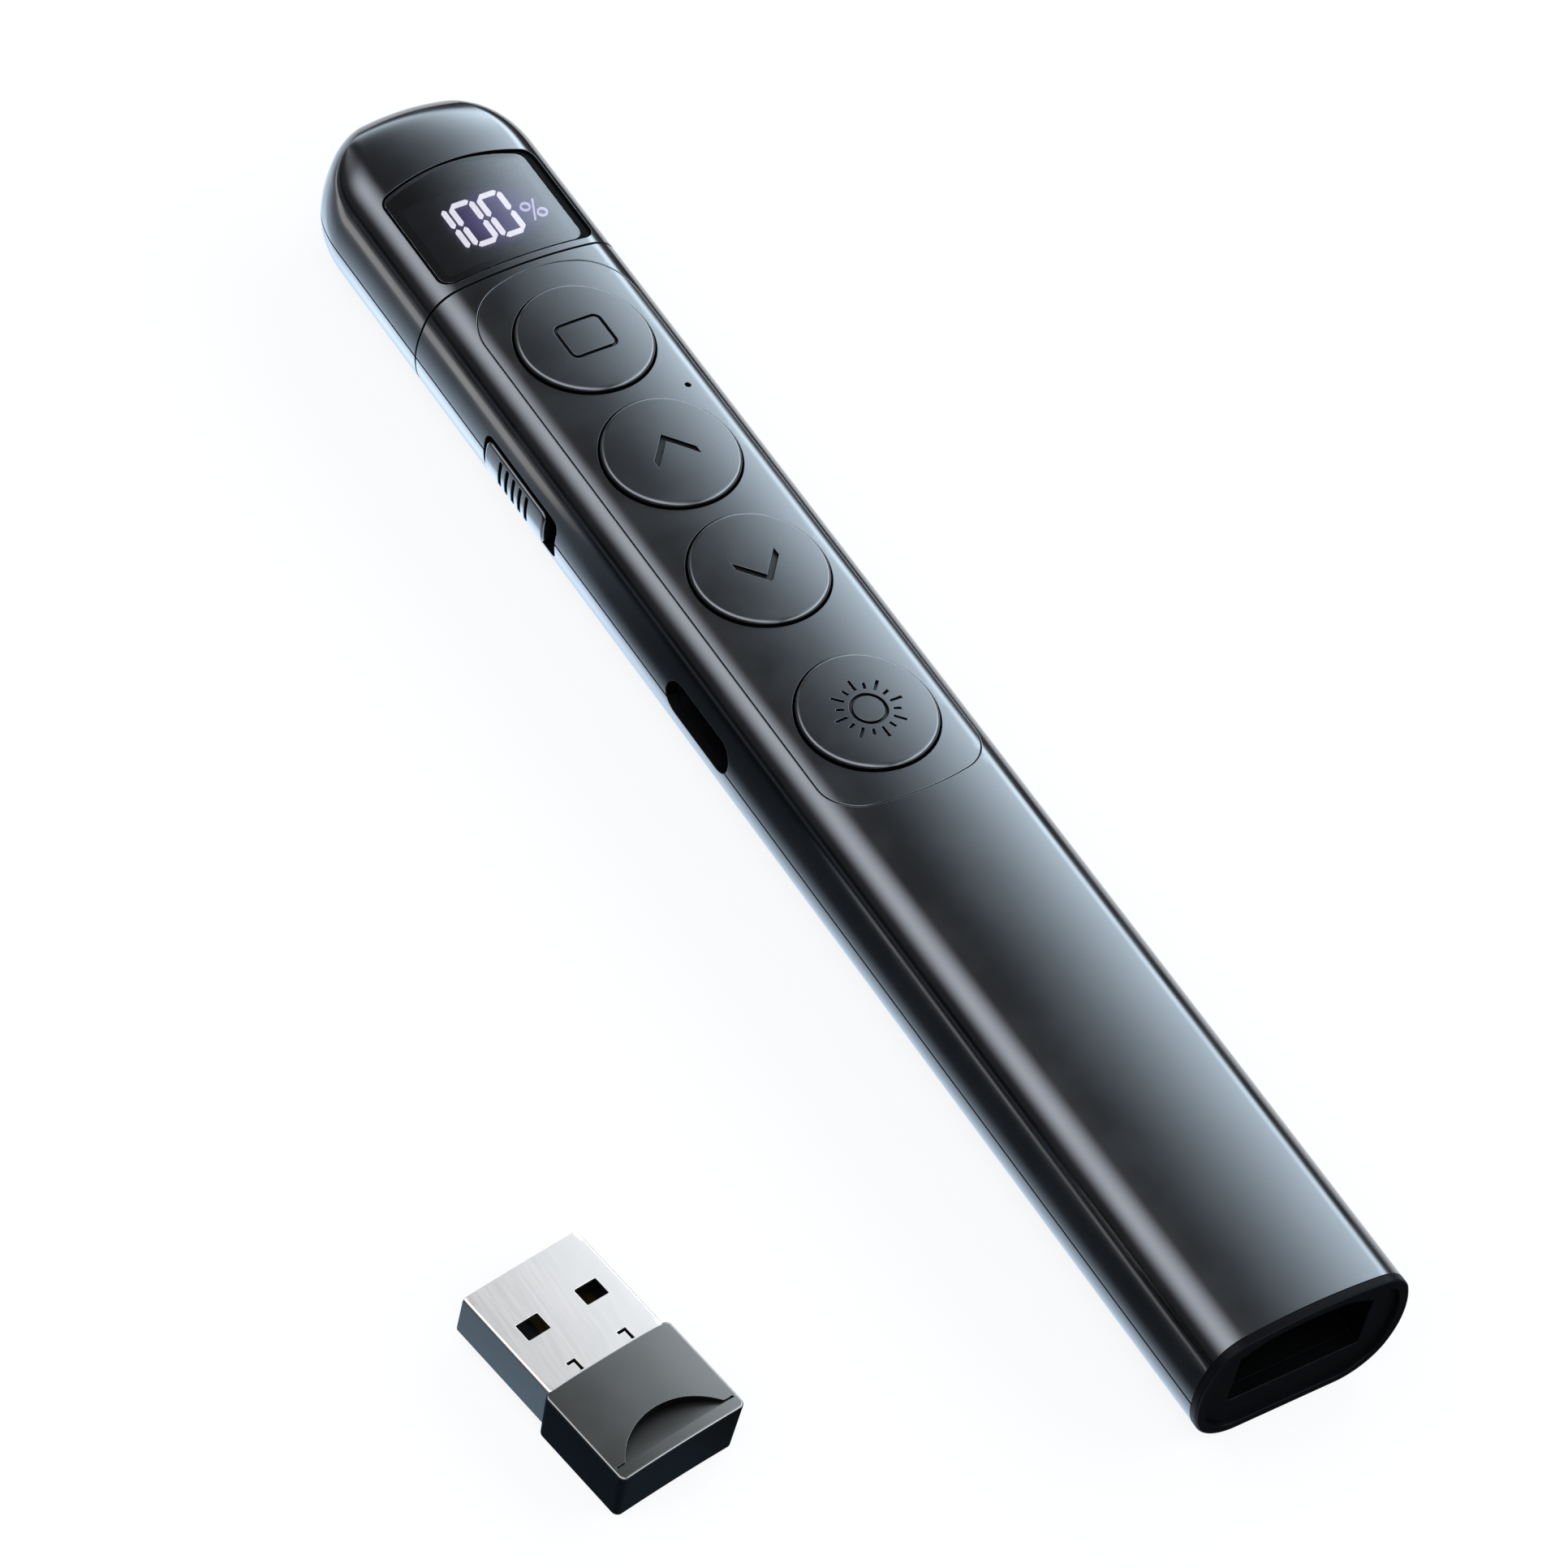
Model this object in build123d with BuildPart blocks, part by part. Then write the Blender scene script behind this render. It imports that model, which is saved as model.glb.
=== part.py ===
from build123d import *
from math import asin, atan2, cos, degrees, hypot, pi, radians, sin
import os

# Wireless presentation clicker and its USB receiver, in millimetres.
# X is across the body, +Y runs to the nose, +Z is up. The origin is the middle of the flat underside.

# ------------------------------------------------------------------ body section
body_length = 147.4
body_width = 20.8
body_height = 13.7
crown_radius = 42.0  # shallow arch of the top face
shoulder_run = 3.6  # from the side to where the arch meets the shoulder
shoulder_angle = 72.0  # where the shoulder arc hands over to the side arc, from straight up
belly_run = 5.4  # from the side to the flat foot
belly_angle = 68.0  # where the belly arc hands over to the side arc, from straight down
wall = 1.5
seam_drop = 0.95  # level joint between the upper and lower shells, below the middle of the section
seam_gap = 0.12
lip_height = 0.8  # tongue of the lower shell behind the joint
lip_share = 0.55  # how deep in the wall the tongue starts
snug = 0.05  # clearance of pieces that are pushed together
least_corner = 0.3  # of an outline drawn in past its own corner

# ------------------------------------------------------------------ nose
nose_section_length = 23.0  # from the ring joint to the tip
nose_round_length = 9.4
nose_plan_power = 2.3
nose_side_power = 3.2
nose_end_share = 0.985  # the rounding stops here in a small flat for the laser
nose_steps = 8
spigot_length = 2.0  # ring of the body that reaches into the nose section
spigot_overlap = 0.8  # how far that ring runs back inside the body wall
spigot_thickness = 0.65

# ------------------------------------------------------------------ keypad
button_radius = 6.2
button_gap = 0.2  # round each cap
button_spacing = 2.1  # between neighbouring caps
laser_button_spacing = 4.95  # between the third and the fourth cap
button_proud = 0.5
button_bevel = 0.35
button_rim = 0.75  # flange under the shell
button_rim_thickness = 0.6
button_travel = 0.4
rim_play = 0.06
stem_radius = 1.4
first_button_margin = 3.8  # from the ring joint to the first cap
panel_overhang = 1.15  # past the arch onto the shoulder
panel_thickness = 0.8
panel_gap = 0.1
panel_nose_margin = 2.95  # ahead of the first cap
panel_tail_margin = 2.8  # behind the last cap
panel_nose_bow = 2.2
panel_tail_bow = 1.5
panel_nose_corner = 5.2
panel_tail_corner = 3.9
pinhole_radius = 0.27
pinhole_side = 5.8
pinhole_lag = 0.75  # behind the middle between the first two caps
icon_depth = 0.3
icon_line = 0.32
window_icon_width = 4.8
window_icon_length = 4.1
window_icon_corner = 0.8
chevron_width = 4.3
chevron_length = 2.4
chevron_line = 0.45
sun_radius = 1.7
ray_start = 2.15
ray_long = 3.33
ray_short = 2.83
ray_count = 16
ray_line = 0.26

# ------------------------------------------------------------------ display
window_ring_margin = 0.8  # from the ring joint to the window
window_length = 12.7
window_nose_bow = 1.3
window_corner = 1.3
window_thickness = 0.8
seal_left = 0.2  # visible width of the black seal on each side of the lens
seal_right = 1.15
seal_sunk = 0.3
seal_ledge = 1.1  # shelf of the seal under the lens
guide_gap = 0.12
segment_rise = 0.2
display_board_thickness = 0.8
guide_thickness = 1.1
digit_height = 4.95  # between the middles of the strokes, as are the two sizes below
digit_width = 2.05
digit_pitch = 2.85
digit_line = 0.46
digit_slit = 0.24  # dark break between two segments
digit_rise = 3.5  # feet of the digits above the window's lower edge
percent_radius = 0.42
percent_line = 0.14
percent_width = 1.1  # between the middles of the two rings
percent_height = 1.15
percent_gap = 1.35  # from the last stroke to the first ring
percent_stroke = 2.5
percent_lean = 66.0  # slope of the stroke
percent_margin = 0.04  # from the last ring to the edge of the light guide
flex_width = 6.0  # ribbon from the main board to the display board
flex_thickness = 0.15
flex_land = 1.3  # how far it lies on each board
flex_drop = 1.0  # from the edge of the main board to the foot of its slope

# ------------------------------------------------------------------ power switch, in the left side
switch_setback = 7.9  # slot centre behind the first button
slot_length = 12.0
slot_height = 4.6
slot_corner = 0.9
knob_side_play = 0.35
knob_corner = 0.7
knob_end_play = 0.2  # at each end of the travel
knob_travel = 1.5
knob_rim = 1.1
knob_rim_thickness = 0.7
knob_play = 0.1
groove_count = 5
groove_pitch = 1.1
groove_width = 0.5
groove_depth = 0.4
lever_width = 1.2
lever_reach = 0.5  # into the knob's pocket
slide_body_length = 8.6
slide_body_width = 3.2
slide_body_height = 2.9
lever_clearance = 0.15

# ------------------------------------------------------------------ charging socket, in the left side
usb_setback = 8.3  # behind the third button
usb_drop = 0.7  # middle of the socket below the underside of the board
usb_cut_side = 0.48  # gap round the shell along the body
usb_cut_edge = 0.17
usb_shell_length = 8.94
usb_shell_height = 3.26
usb_shell_wall = 0.3
usb_shell_depth = 7.3
usb_shell_sunk = 0.9
usb_tongue_width = 6.7
usb_tongue_thickness = 0.7
usb_tongue_sunk = 0.8
usb_leg_length = 1.2
usb_leg_reach = 1.4  # out from the widest part of the shell
usb_leg_thickness = 0.3
usb_leg_setback = 2.2  # of each leg from the nearer end of the shell

# ------------------------------------------------------------------ boards, cell and small parts
board_thickness = 1.0
board_lift = 0.75  # underside of the board above the middle of the section
board_side_clearance = 1.6
board_tail_margin = 3.2  # behind the last cap
board_nose_margin = 1.2  # behind the ring joint
board_corner = 1.0
board_notch_clearance = 0.25
tact_size = 4.5
tact_height = 1.4
tact_cover_thickness = 0.15
tact_cover_overhang = 0.1
tact_floor = 0.1
plunger_radius = 0.9
plunger_rise = 0.75  # top of the plunger above the cover's underside
plunger_play = 0.05
screw_shank_radius = 0.5
screw_head_radius = 1.1
screw_head_height = 0.5
screw_cross_length = 1.4
screw_cross_width = 0.25
screw_cross_depth = 0.25
screw_length = 3.4
boss_radius = 1.3
nose_screw_setback = 4.1  # behind the ring joint
nose_screw_margin = 1.1  # from the side of the board
mid_screw_margin = 1.3
processor_size = (5.0, 5.0, 1.0)
processor_side = 2.5
radio_size = (3.0, 4.0, 0.9)
radio_side = 3.0
radio_setback = 2.5  # ahead of the last button's centre
charger_size = (3.2, 2.5, 0.8)
charger_side = -2.5
charger_setback = 2.0  # ahead of the first button's centre
cell_side_clearance = 2.0
cell_height = 7.0
cell_edge = 1.5
cell_board_gap = 2.0
cell_dock_gap = 1.6
tape_thickness = 0.5
lead_radius = 0.4
lead_side = 1.2
lead_overlap = 4.0  # how far a lead runs under the board
pipe_radius = 0.6

# ------------------------------------------------------------------ laser
laser_barrel_radius = 3.0
laser_barrel_length = 12.0
laser_bezel_radius = 2.0
laser_bore_radius = 1.4
laser_lens_sunk = 0.5
laser_lens_thickness = 0.8
laser_barrel_gap = 0.7  # from the barrel to the inside of the tip
cradle_thickness = 2.0
cradle_setback = 8.0  # behind the barrel's front

# ------------------------------------------------------------------ receiver
grip_width = 13.0
grip_length = 9.9
grip_height = 5.8
grip_corner = 0.6
grip_bevel = 0.15
plug_width = 12.0
plug_height = 4.5
plug_length = 10.8
plug_corner = 0.5
plug_wall = 0.3
plug_sunk = 0.1  # below the grip's top
plug_root = 3.2  # inside the grip
plug_roof = 0.85  # grip wall over the root of the plug
plug_hole_width = 2.25
plug_hole_length = 1.75
plug_hole_side = 3.05
plug_hole_setback = 5.5  # from the grip
tab_slot_side = 2.65
tab_slot_width = 0.9
tab_slot_reach = 1.3
tab_slot_line = 0.28
tongue_thickness = 1.9
tongue_sunk = 0.4
contact_count = 4
contact_width = 1.0
contact_pitch = 2.4
contact_length = 7.0
contact_thickness = 0.15
stick_board_thickness = 0.8
stick_board_width = 10.0
scoop_radius = 6.1
scoop_reach = 3.1
scoop_depth = 0.95
end_bar = 1.6  # plain bar behind the nail scoop
grip_wall = 0.8
receiver_x = -50.7
receiver_y = -47.9
receiver_yaw = 8.3

# ------------------------------------------------------------------ tail cap with the receiver dock
cap_flange = 0.8
cap_plate = 1.3
cap_rim = 1.0
cap_recess = 0.5
cap_spigot_length = 6.0
cap_spigot_thickness = 0.9
dock_clearance = 0.15
dock_lift = 0.4  # dock centre above the middle of the section
dock_wall = 0.8
dock_end_wall = 2.4
scoop_width = 12.6
scoop_margin = 0.1  # from the top of the finger scoop to the rim of the cap's inner plate
tail_scoop_depth = 1.7
magnet_width = 8.0
magnet_height = 3.0
magnet_thickness = 1.8

# ------------------------------------------------------------------ stations worked out from these
half_width = body_width / 2
half_height = body_height / 2
middle_z = half_height
seam_height = middle_z - seam_drop
crown_half_width = half_width - shoulder_run
foot_half_width = half_width - belly_run
nose_tip_y = body_length / 2
tail_y = -body_length / 2
ring_y = nose_tip_y - nose_section_length
nose_round_y = nose_tip_y - nose_end_share * nose_round_length
shell_tail_y = tail_y + cap_flange
body_front_y = ring_y - seam_gap / 2
nose_back_y = ring_y + seam_gap / 2

button_pitch = 2 * button_radius + button_spacing
window_button_y = ring_y - first_button_margin - button_radius
page_up_button_y = window_button_y - button_pitch
page_down_button_y = page_up_button_y - button_pitch
laser_button_y = page_down_button_y - 2 * button_radius - laser_button_spacing
button_hole_radius = button_radius + button_gap
button_rim_radius = button_radius + button_rim
button_rim_inset = wall + rim_play
button_floor_inset = button_rim_inset + button_rim_thickness

panel_half_width = crown_half_width + panel_overhang
panel_high_y = window_button_y + button_radius + panel_nose_margin
panel_low_y = laser_button_y - button_radius - panel_tail_margin
pinhole_y = (window_button_y + page_up_button_y) / 2 - pinhole_lag

window_low_y = ring_y + window_ring_margin
window_high_y = window_low_y + window_length
switch_y = window_button_y - switch_setback
knob_length = slot_length - knob_travel - 2 * knob_end_play
knob_height = slot_height - 2 * knob_side_play
knob_y = switch_y + knob_travel / 2
usb_y = page_down_button_y - usb_setback

board_z = middle_z + board_lift
board_top_z = board_z + board_thickness
usb_height = board_z - usb_drop
usb_cut_length = usb_shell_length + 2 * usb_cut_side
usb_cut_height = usb_shell_height + 2 * usb_cut_edge
board_half_width = half_width - wall - board_side_clearance
board_low_y = laser_button_y - button_radius - board_tail_margin
board_high_y = ring_y - board_nose_margin
cover_z = board_top_z + tact_height
plunger_top_z = cover_z + plunger_rise

dock_width = grip_width + 2 * dock_clearance
dock_height = grip_height + 2 * dock_clearance
dock_z = middle_z + dock_lift
dock_top_z = dock_z + dock_height / 2
dock_step_y = tail_y + grip_length + dock_clearance
dock_end_y = dock_step_y + plug_length + dock_clearance
dock_back_y = dock_end_y + dock_end_wall

cell_low_y = dock_back_y + cell_dock_gap
cell_high_y = board_low_y - cell_board_gap
cell_half_width = half_width - wall - cell_side_clearance
cell_z = wall + tape_thickness

barrel_front_y = nose_tip_y - nose_end_share * wall - laser_barrel_gap
far = 2 * body_length  # reach of cutters that go right through


# ------------------------------------------------------------------ section and blocks
def side_arcs(half_w, half_h, arch_radius, arch_half, hand_over):
    """Radii of the corner arc and the side arc that lead, tangent all the way, from the end of an arch to the
    upright side. An arch_radius of 0 means a flat. Both radii follow from two linear equations."""
    lean = asin(arch_half / arch_radius) if arch_radius else 0.0
    drop = arch_radius * (1 - cos(lean))
    turn = radians(hand_over)
    run, fall = half_w - arch_half, half_h - drop
    a, b = sin(turn) - sin(lean), 1 - sin(turn)
    c, d = cos(lean) - cos(turn), cos(turn)
    det = a * d - b * c
    return lean, (run * d - b * fall) / det, (a * fall - c * run) / det


def polar(centre, radius, angle):
    """Point of an arc, its angle in radians clockwise from straight up."""
    return centre[0] + radius * sin(angle), centre[1] + radius * cos(angle)


def body_section(inset, wide=1.0, high=1.0):
    """Face of the body's section, scaled about its middle and then drawn in by inset. The top is a shallow
    arch, the foot is flat, and two tangent arcs join each of them to the side."""
    half_w, half_h = half_width * wide, half_height * high
    arch_radius = crown_radius * wide**2 / high
    arch_half, foot_half = crown_half_width * wide, foot_half_width * wide
    lean, shoulder, side = side_arcs(half_w, half_h, arch_radius, arch_half, shoulder_angle)
    _, belly, low_side = side_arcs(half_w, half_h, 0.0, foot_half, belly_angle)
    arch_centre = (0.0, middle_z + half_h - arch_radius)
    shoulder_centre = polar(arch_centre, arch_radius - shoulder, lean)
    upper, lower = radians(shoulder_angle), pi - radians(belly_angle)
    arcs = [
        (shoulder_centre, shoulder, lean, upper),
        ((half_w - side, middle_z), side, upper, pi / 2),
        ((half_w - low_side, middle_z), low_side, pi / 2, lower),
        ((foot_half, middle_z - half_h + belly), belly, lower, pi),
    ]
    foot_z = middle_z - half_h + inset
    with BuildSketch() as face:
        with BuildLine():
            for hand in (1, -1):
                for centre, radius, start, end in arcs:
                    points = [polar(centre, radius - inset, t) for t in (start, (start + end) / 2, end)]
                    ThreePointArc(*[(hand * x, z) for x, z in points])
            ThreePointArc(*[polar(arch_centre, arch_radius - inset, t) for t in (-lean, 0, lean)])
            Line((-foot_half, foot_z), (foot_half, foot_z))
        make_face()
    return face.sketch


def block(inset, low_y, high_y):
    """Straight run of the body, drawn in by inset, between two stations."""
    with BuildPart() as solid:
        with BuildSketch(Plane.XZ.offset(-high_y)):
            add(body_section(inset))
        extrude(amount=high_y - low_y)
    return solid.part


def nose_block(inset):
    """Nose section, drawn in by inset: a straight run, then sections that shrink along two superellipses."""
    reach = nose_round_length - inset
    with BuildPart() as solid:
        with BuildSketch(Plane.XZ.offset(-nose_round_y)):
            add(body_section(inset))
        extrude(amount=nose_round_y - nose_back_y)
        for step in range(nose_steps + 1):
            share = nose_end_share * sin(pi / 2 * step / nose_steps)
            wide = (1 - share**nose_plan_power) ** (1 / nose_plan_power)
            high = (1 - share**nose_side_power) ** (1 / nose_side_power)
            with BuildSketch(Plane.XZ.offset(-(nose_round_y + share * reach))):
                add(body_section(inset * wide, wide, high))
        loft()
    return solid.part


def slab(x_span, y_span, z_span):
    """Box between two corners, given as (low, high) along each axis."""
    with BuildPart() as solid:
        with BuildSketch(Plane.XY.offset(z_span[0])):
            with Locations(((x_span[0] + x_span[1]) / 2, (y_span[0] + y_span[1]) / 2)):
                Rectangle(x_span[1] - x_span[0], y_span[1] - y_span[0])
        extrude(amount=z_span[1] - z_span[0])
    return solid.part


def post(x, y, radius, low_z, high_z):
    """Upright cylinder between two heights."""
    with BuildPart() as solid:
        with BuildSketch(Plane.XY.offset(low_z)):
            with Locations((x, y)):
                Circle(radius)
        extrude(amount=high_z - low_z)
    return solid.part


def bowed_edge(start, end, bow):
    """Edge between two points of equal height, bowed by bow at its middle."""
    if bow:
        ThreePointArc(start, ((start[0] + end[0]) / 2, start[1] + bow), end)
    else:
        Line(start, end)


def top_prism(left, right, low_y, high_y, low_bow, high_bow, low_corner, high_corner, margin=0.0):
    """Upright prism on a plan with straight sides, bowed ends and rounded corners, grown by margin."""
    left, right = left - margin, right + margin
    low, high = low_y - margin + low_bow, high_y + margin - high_bow
    with BuildPart() as solid:
        with BuildSketch(Plane.XY.offset(middle_z)) as plan:
            with BuildLine():
                Line((left, low), (left, high))
                bowed_edge((left, high), (right, high), high_bow)
                Line((right, high), (right, low))
                bowed_edge((left, low), (right, low), -low_bow)
            make_face()
            ends = plan.vertices().group_by(Axis.Y)
            fillet(ends[-1], max(high_corner + margin, least_corner))
            fillet(ends[0], max(low_corner + margin, least_corner))
        extrude(amount=body_height)
    return solid.part


def side_prism(y, z, length, height, corner, depth=half_width):
    """Prism that runs in from the left side, on a rounded rectangle seen from that side."""
    with BuildPart() as solid:
        with BuildSketch(Plane.YZ.offset(-body_width)):
            with Locations((y, z)):
                RectangleRounded(length, height, corner)
        extrude(amount=body_width - half_width + depth)
    return solid.part


def ring(outer_inset, inner_inset, low_y, high_y):
    """Band that follows the section between two insets."""
    with BuildPart() as solid:
        add(block(outer_inset, low_y, high_y))
        add(block(inner_inset, low_y, high_y), mode=Mode.SUBTRACT)
    return solid.part


def save(piece, node):
    """Labels a finished piece and writes its STEP file."""
    piece.part.label = node
    export_step(piece.part, f"parts/{node}.step")


os.makedirs("parts", exist_ok=True)


# ------------------------------------------------------------------ body shells
def shell_openings():
    """Cutters of the two openings in the left side, which the level joint crosses."""
    return [
        side_prism(switch_y, seam_height, slot_length, slot_height, slot_corner),
        side_prism(usb_y, usb_height, usb_cut_length, usb_cut_height, usb_cut_height / 2 - snug),
    ]


body_tube = ring(0, wall, shell_tail_y, body_front_y)
body_spigot_root = ring(wall, wall + snug + spigot_thickness, body_front_y - spigot_overlap, body_front_y)
body_spigot = ring(wall + snug, wall + snug + spigot_thickness, body_front_y, nose_back_y + spigot_length)
lip_inset = wall * lip_share
body_span = ((-half_width, half_width), (tail_y, nose_tip_y))
screw_points = [
    (hand * side, y)
    for hand in (-1, 1)
    for side, y in (
        (board_half_width - nose_screw_margin, ring_y - nose_screw_setback),
        (board_half_width - mid_screw_margin, (page_up_button_y + page_down_button_y) / 2),
    )
]
button_ys = [window_button_y, page_up_button_y, page_down_button_y, laser_button_y]
keypad_plan = (
    -panel_half_width,
    panel_half_width,
    panel_low_y,
    panel_high_y,
    panel_tail_bow,
    panel_nose_bow,
    panel_tail_corner,
    panel_nose_corner,
)
window_plan = (
    -panel_half_width,
    panel_half_width,
    window_low_y,
    window_high_y,
    0.0,
    window_nose_bow,
    window_corner,
    window_corner,
)

with BuildPart() as lip:
    add(ring(lip_inset, wall, shell_tail_y, body_front_y))
    add(slab(*body_span, (seam_height - seam_gap, seam_height + lip_height)), mode=Mode.INTERSECT)

with BuildPart() as rebate:
    add(ring(lip_inset - snug, wall, shell_tail_y, body_front_y))
    add(slab(*body_span, (seam_height, seam_height + lip_height + snug)), mode=Mode.INTERSECT)

with BuildPart() as keypad_recess:
    add(top_prism(*keypad_plan, margin=panel_gap))
    add(block(panel_thickness, panel_low_y - wall, panel_high_y + wall), mode=Mode.SUBTRACT)

with BuildPart() as boss_columns:
    with BuildSketch(Plane.XY.offset(board_top_z)):
        with Locations(screw_points):
            Circle(boss_radius)
    extrude(amount=body_height)
    add(block(wall / 2, board_low_y, board_high_y), mode=Mode.INTERSECT)

with BuildPart() as body_upper_shell:
    add(body_tube)
    add(body_spigot_root)
    add(body_spigot)
    split(bisect_by=Plane.XY.offset(seam_height + seam_gap / 2), keep=Keep.TOP)
    add(rebate.part, mode=Mode.SUBTRACT)
    add(boss_columns.part)
    add(keypad_recess.part, mode=Mode.SUBTRACT)
    add(top_prism(*window_plan), mode=Mode.SUBTRACT)
    with BuildSketch(Plane.XY.offset(board_top_z)):
        with Locations(*[(0, y) for y in button_ys]):
            Circle(button_hole_radius)
        with Locations((pinhole_side, pinhole_y)):
            Circle(pipe_radius + snug)
    extrude(amount=body_height, mode=Mode.SUBTRACT)
    with BuildSketch(Plane.XY.offset(board_top_z)):
        with Locations(screw_points):
            Circle(screw_shank_radius + snug)
    extrude(amount=screw_length - board_thickness + snug, mode=Mode.SUBTRACT)
    for cutter in shell_openings():
        add(cutter, mode=Mode.SUBTRACT)
save(body_upper_shell, "body_upper_shell")

with BuildPart() as body_lower_shell:
    add(body_tube)
    add(body_spigot_root)
    add(body_spigot)
    split(bisect_by=Plane.XY.offset(seam_height - seam_gap / 2), keep=Keep.BOTTOM)
    add(lip.part)
    for cutter in shell_openings():
        add(cutter, mode=Mode.SUBTRACT)
save(body_lower_shell, "body_lower_shell")

# ------------------------------------------------------------------ nose shells
nose_outer = nose_block(0)
nose_cavity = nose_block(wall)

with BuildPart() as laser_bore:
    with BuildSketch(Plane.XZ.offset(-nose_tip_y - wall)):
        with Locations((0, middle_z)):
            Circle(laser_bezel_radius + snug)
    extrude(amount=3 * wall)

with BuildPart() as nose_upper_shell:
    add(nose_outer)
    add(nose_cavity, mode=Mode.SUBTRACT)
    split(bisect_by=Plane.XY.offset(seam_height + seam_gap / 2), keep=Keep.TOP)
    add(top_prism(*window_plan), mode=Mode.SUBTRACT)
    add(laser_bore.part, mode=Mode.SUBTRACT)
save(nose_upper_shell, "nose_upper_shell")

with BuildPart() as laser_cradle:
    with BuildSketch(Plane.XZ.offset(-(barrel_front_y - cradle_setback))):
        with Locations((0, seam_height / 2)):
            Rectangle(body_width, seam_height - seam_gap)
        with Locations((0, middle_z)):
            Circle(laser_barrel_radius + snug, mode=Mode.SUBTRACT)
    extrude(amount=cradle_thickness)
    add(block(wall / 2, ring_y, nose_round_y), mode=Mode.INTERSECT)

with BuildPart() as nose_lower_shell:
    add(nose_outer)
    add(nose_cavity, mode=Mode.SUBTRACT)
    add(laser_cradle.part)
    split(bisect_by=Plane.XY.offset(seam_height - seam_gap / 2), keep=Keep.BOTTOM)
    add(laser_bore.part, mode=Mode.SUBTRACT)
save(nose_lower_shell, "nose_lower_shell")


# ------------------------------------------------------------------ keypad
with BuildPart() as keypad_panel:
    add(top_prism(*keypad_plan))
    add(block(0, panel_low_y - wall, panel_high_y + wall), mode=Mode.INTERSECT)
    add(block(panel_thickness - snug / 2, panel_low_y - wall, panel_high_y + wall), mode=Mode.SUBTRACT)
    with BuildSketch(Plane.XY.offset(middle_z)):
        with Locations(*[(0, y) for y in button_ys]):
            Circle(button_hole_radius)
        with Locations((pinhole_side, pinhole_y)):
            Circle(pinhole_radius)
    extrude(amount=body_height, mode=Mode.SUBTRACT)
save(keypad_panel, "keypad_panel")


def window_icon():
    """Outline of a rounded rectangle."""
    with BuildSketch() as icon:
        RectangleRounded(window_icon_width, window_icon_length, window_icon_corner)
        inner_corner = window_icon_corner - icon_line
        inner_size = (window_icon_width - 2 * icon_line, window_icon_length - 2 * icon_line)
        RectangleRounded(*inner_size, inner_corner, mode=Mode.SUBTRACT)
    return icon.sketch


def chevron(direction):
    """Open arrowhead that points to the nose (1) or to the tail (-1)."""
    side, rise = chevron_width / 2, direction * chevron_length / 2
    step = direction * chevron_line * hypot(side, 2 * rise) / side
    with BuildSketch() as icon:
        with BuildLine():
            Polyline(
                (-side, -rise),
                (0, rise),
                (side, -rise),
                (side, -rise - step),
                (0, rise - step),
                (-side, -rise - step),
                close=True,
            )
        make_face()
    return icon.sketch


def sun_icon():
    """Ring with rays of two lengths, which take turns."""
    with BuildSketch() as icon:
        Circle(sun_radius)
        Circle(sun_radius - icon_line, mode=Mode.SUBTRACT)
        for index in range(ray_count):
            reach = (ray_short if index % 2 else ray_long) - ray_start
            with PolarLocations(ray_start + reach / 2, 1, start_angle=90 + 360 * index / ray_count):
                Rectangle(reach, ray_line)
    return icon.sketch


def button_cap(y, icon):
    """Cap that follows the arch of the body, with its rim under the shell, its stem and its sunk icon."""
    low_y, high_y = y - button_rim_radius - wall, y + button_rim_radius + wall
    with BuildPart() as rim:
        add(post(0, y, button_rim_radius, plunger_top_z, body_height))
        add(ring(button_rim_inset, button_floor_inset, low_y, high_y), mode=Mode.INTERSECT)
    with BuildPart() as cap:
        add(post(0, y, button_radius, plunger_top_z, body_height + wall))
        add(block(-button_proud, low_y, high_y), mode=Mode.INTERSECT)
        chamfer(cap.faces().sort_by(Axis.Z)[-1].edges(), button_bevel)
        add(block(button_floor_inset, low_y, high_y), mode=Mode.SUBTRACT)
        add(rim.part)
        add(post(0, y, stem_radius, plunger_top_z, body_height - button_floor_inset + snug))
        with BuildSketch(Plane.XY.offset(body_height + button_proud - icon_depth)):
            with Locations((0, y)):
                add(icon)
        extrude(amount=wall, mode=Mode.SUBTRACT)
    return cap


def plunger(y):
    """Plunger of a tact switch, under the stem of its cap."""
    foot_z = board_top_z + tact_floor + button_travel
    with BuildPart() as pin:
        add(post(0, y, plunger_radius, foot_z, plunger_top_z))
    return pin


for name, y, icon in (
    ("window_button", window_button_y, window_icon()),
    ("page_up_button", page_up_button_y, chevron(1)),
    ("page_down_button", page_down_button_y, chevron(-1)),
    ("laser_button", laser_button_y, sun_icon()),
):
    save(button_cap(y, icon), name)
    save(plunger(y), name.replace("_button", "_plunger"))

with BuildPart() as tact_switch_bodies:
    with BuildSketch(Plane.XY.offset(board_top_z)):
        with Locations(*[(0, y) for y in button_ys]):
            Rectangle(tact_size, tact_size)
    extrude(amount=tact_height)
    with BuildSketch(Plane.XY.offset(board_top_z + tact_floor)):
        with Locations(*[(0, y) for y in button_ys]):
            Circle(plunger_radius + plunger_play)
    extrude(amount=tact_height, mode=Mode.SUBTRACT)
save(tact_switch_bodies, "tact_switch_bodies")

with BuildPart() as tact_switch_covers:
    with BuildSketch(Plane.XY.offset(cover_z)):
        with Locations(*[(0, y) for y in button_ys]):
            Rectangle(tact_size + 2 * tact_cover_overhang, tact_size + 2 * tact_cover_overhang)
            Circle(plunger_radius + plunger_play, mode=Mode.SUBTRACT)
    extrude(amount=tact_cover_thickness)
save(tact_switch_covers, "tact_switch_covers")

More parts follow.
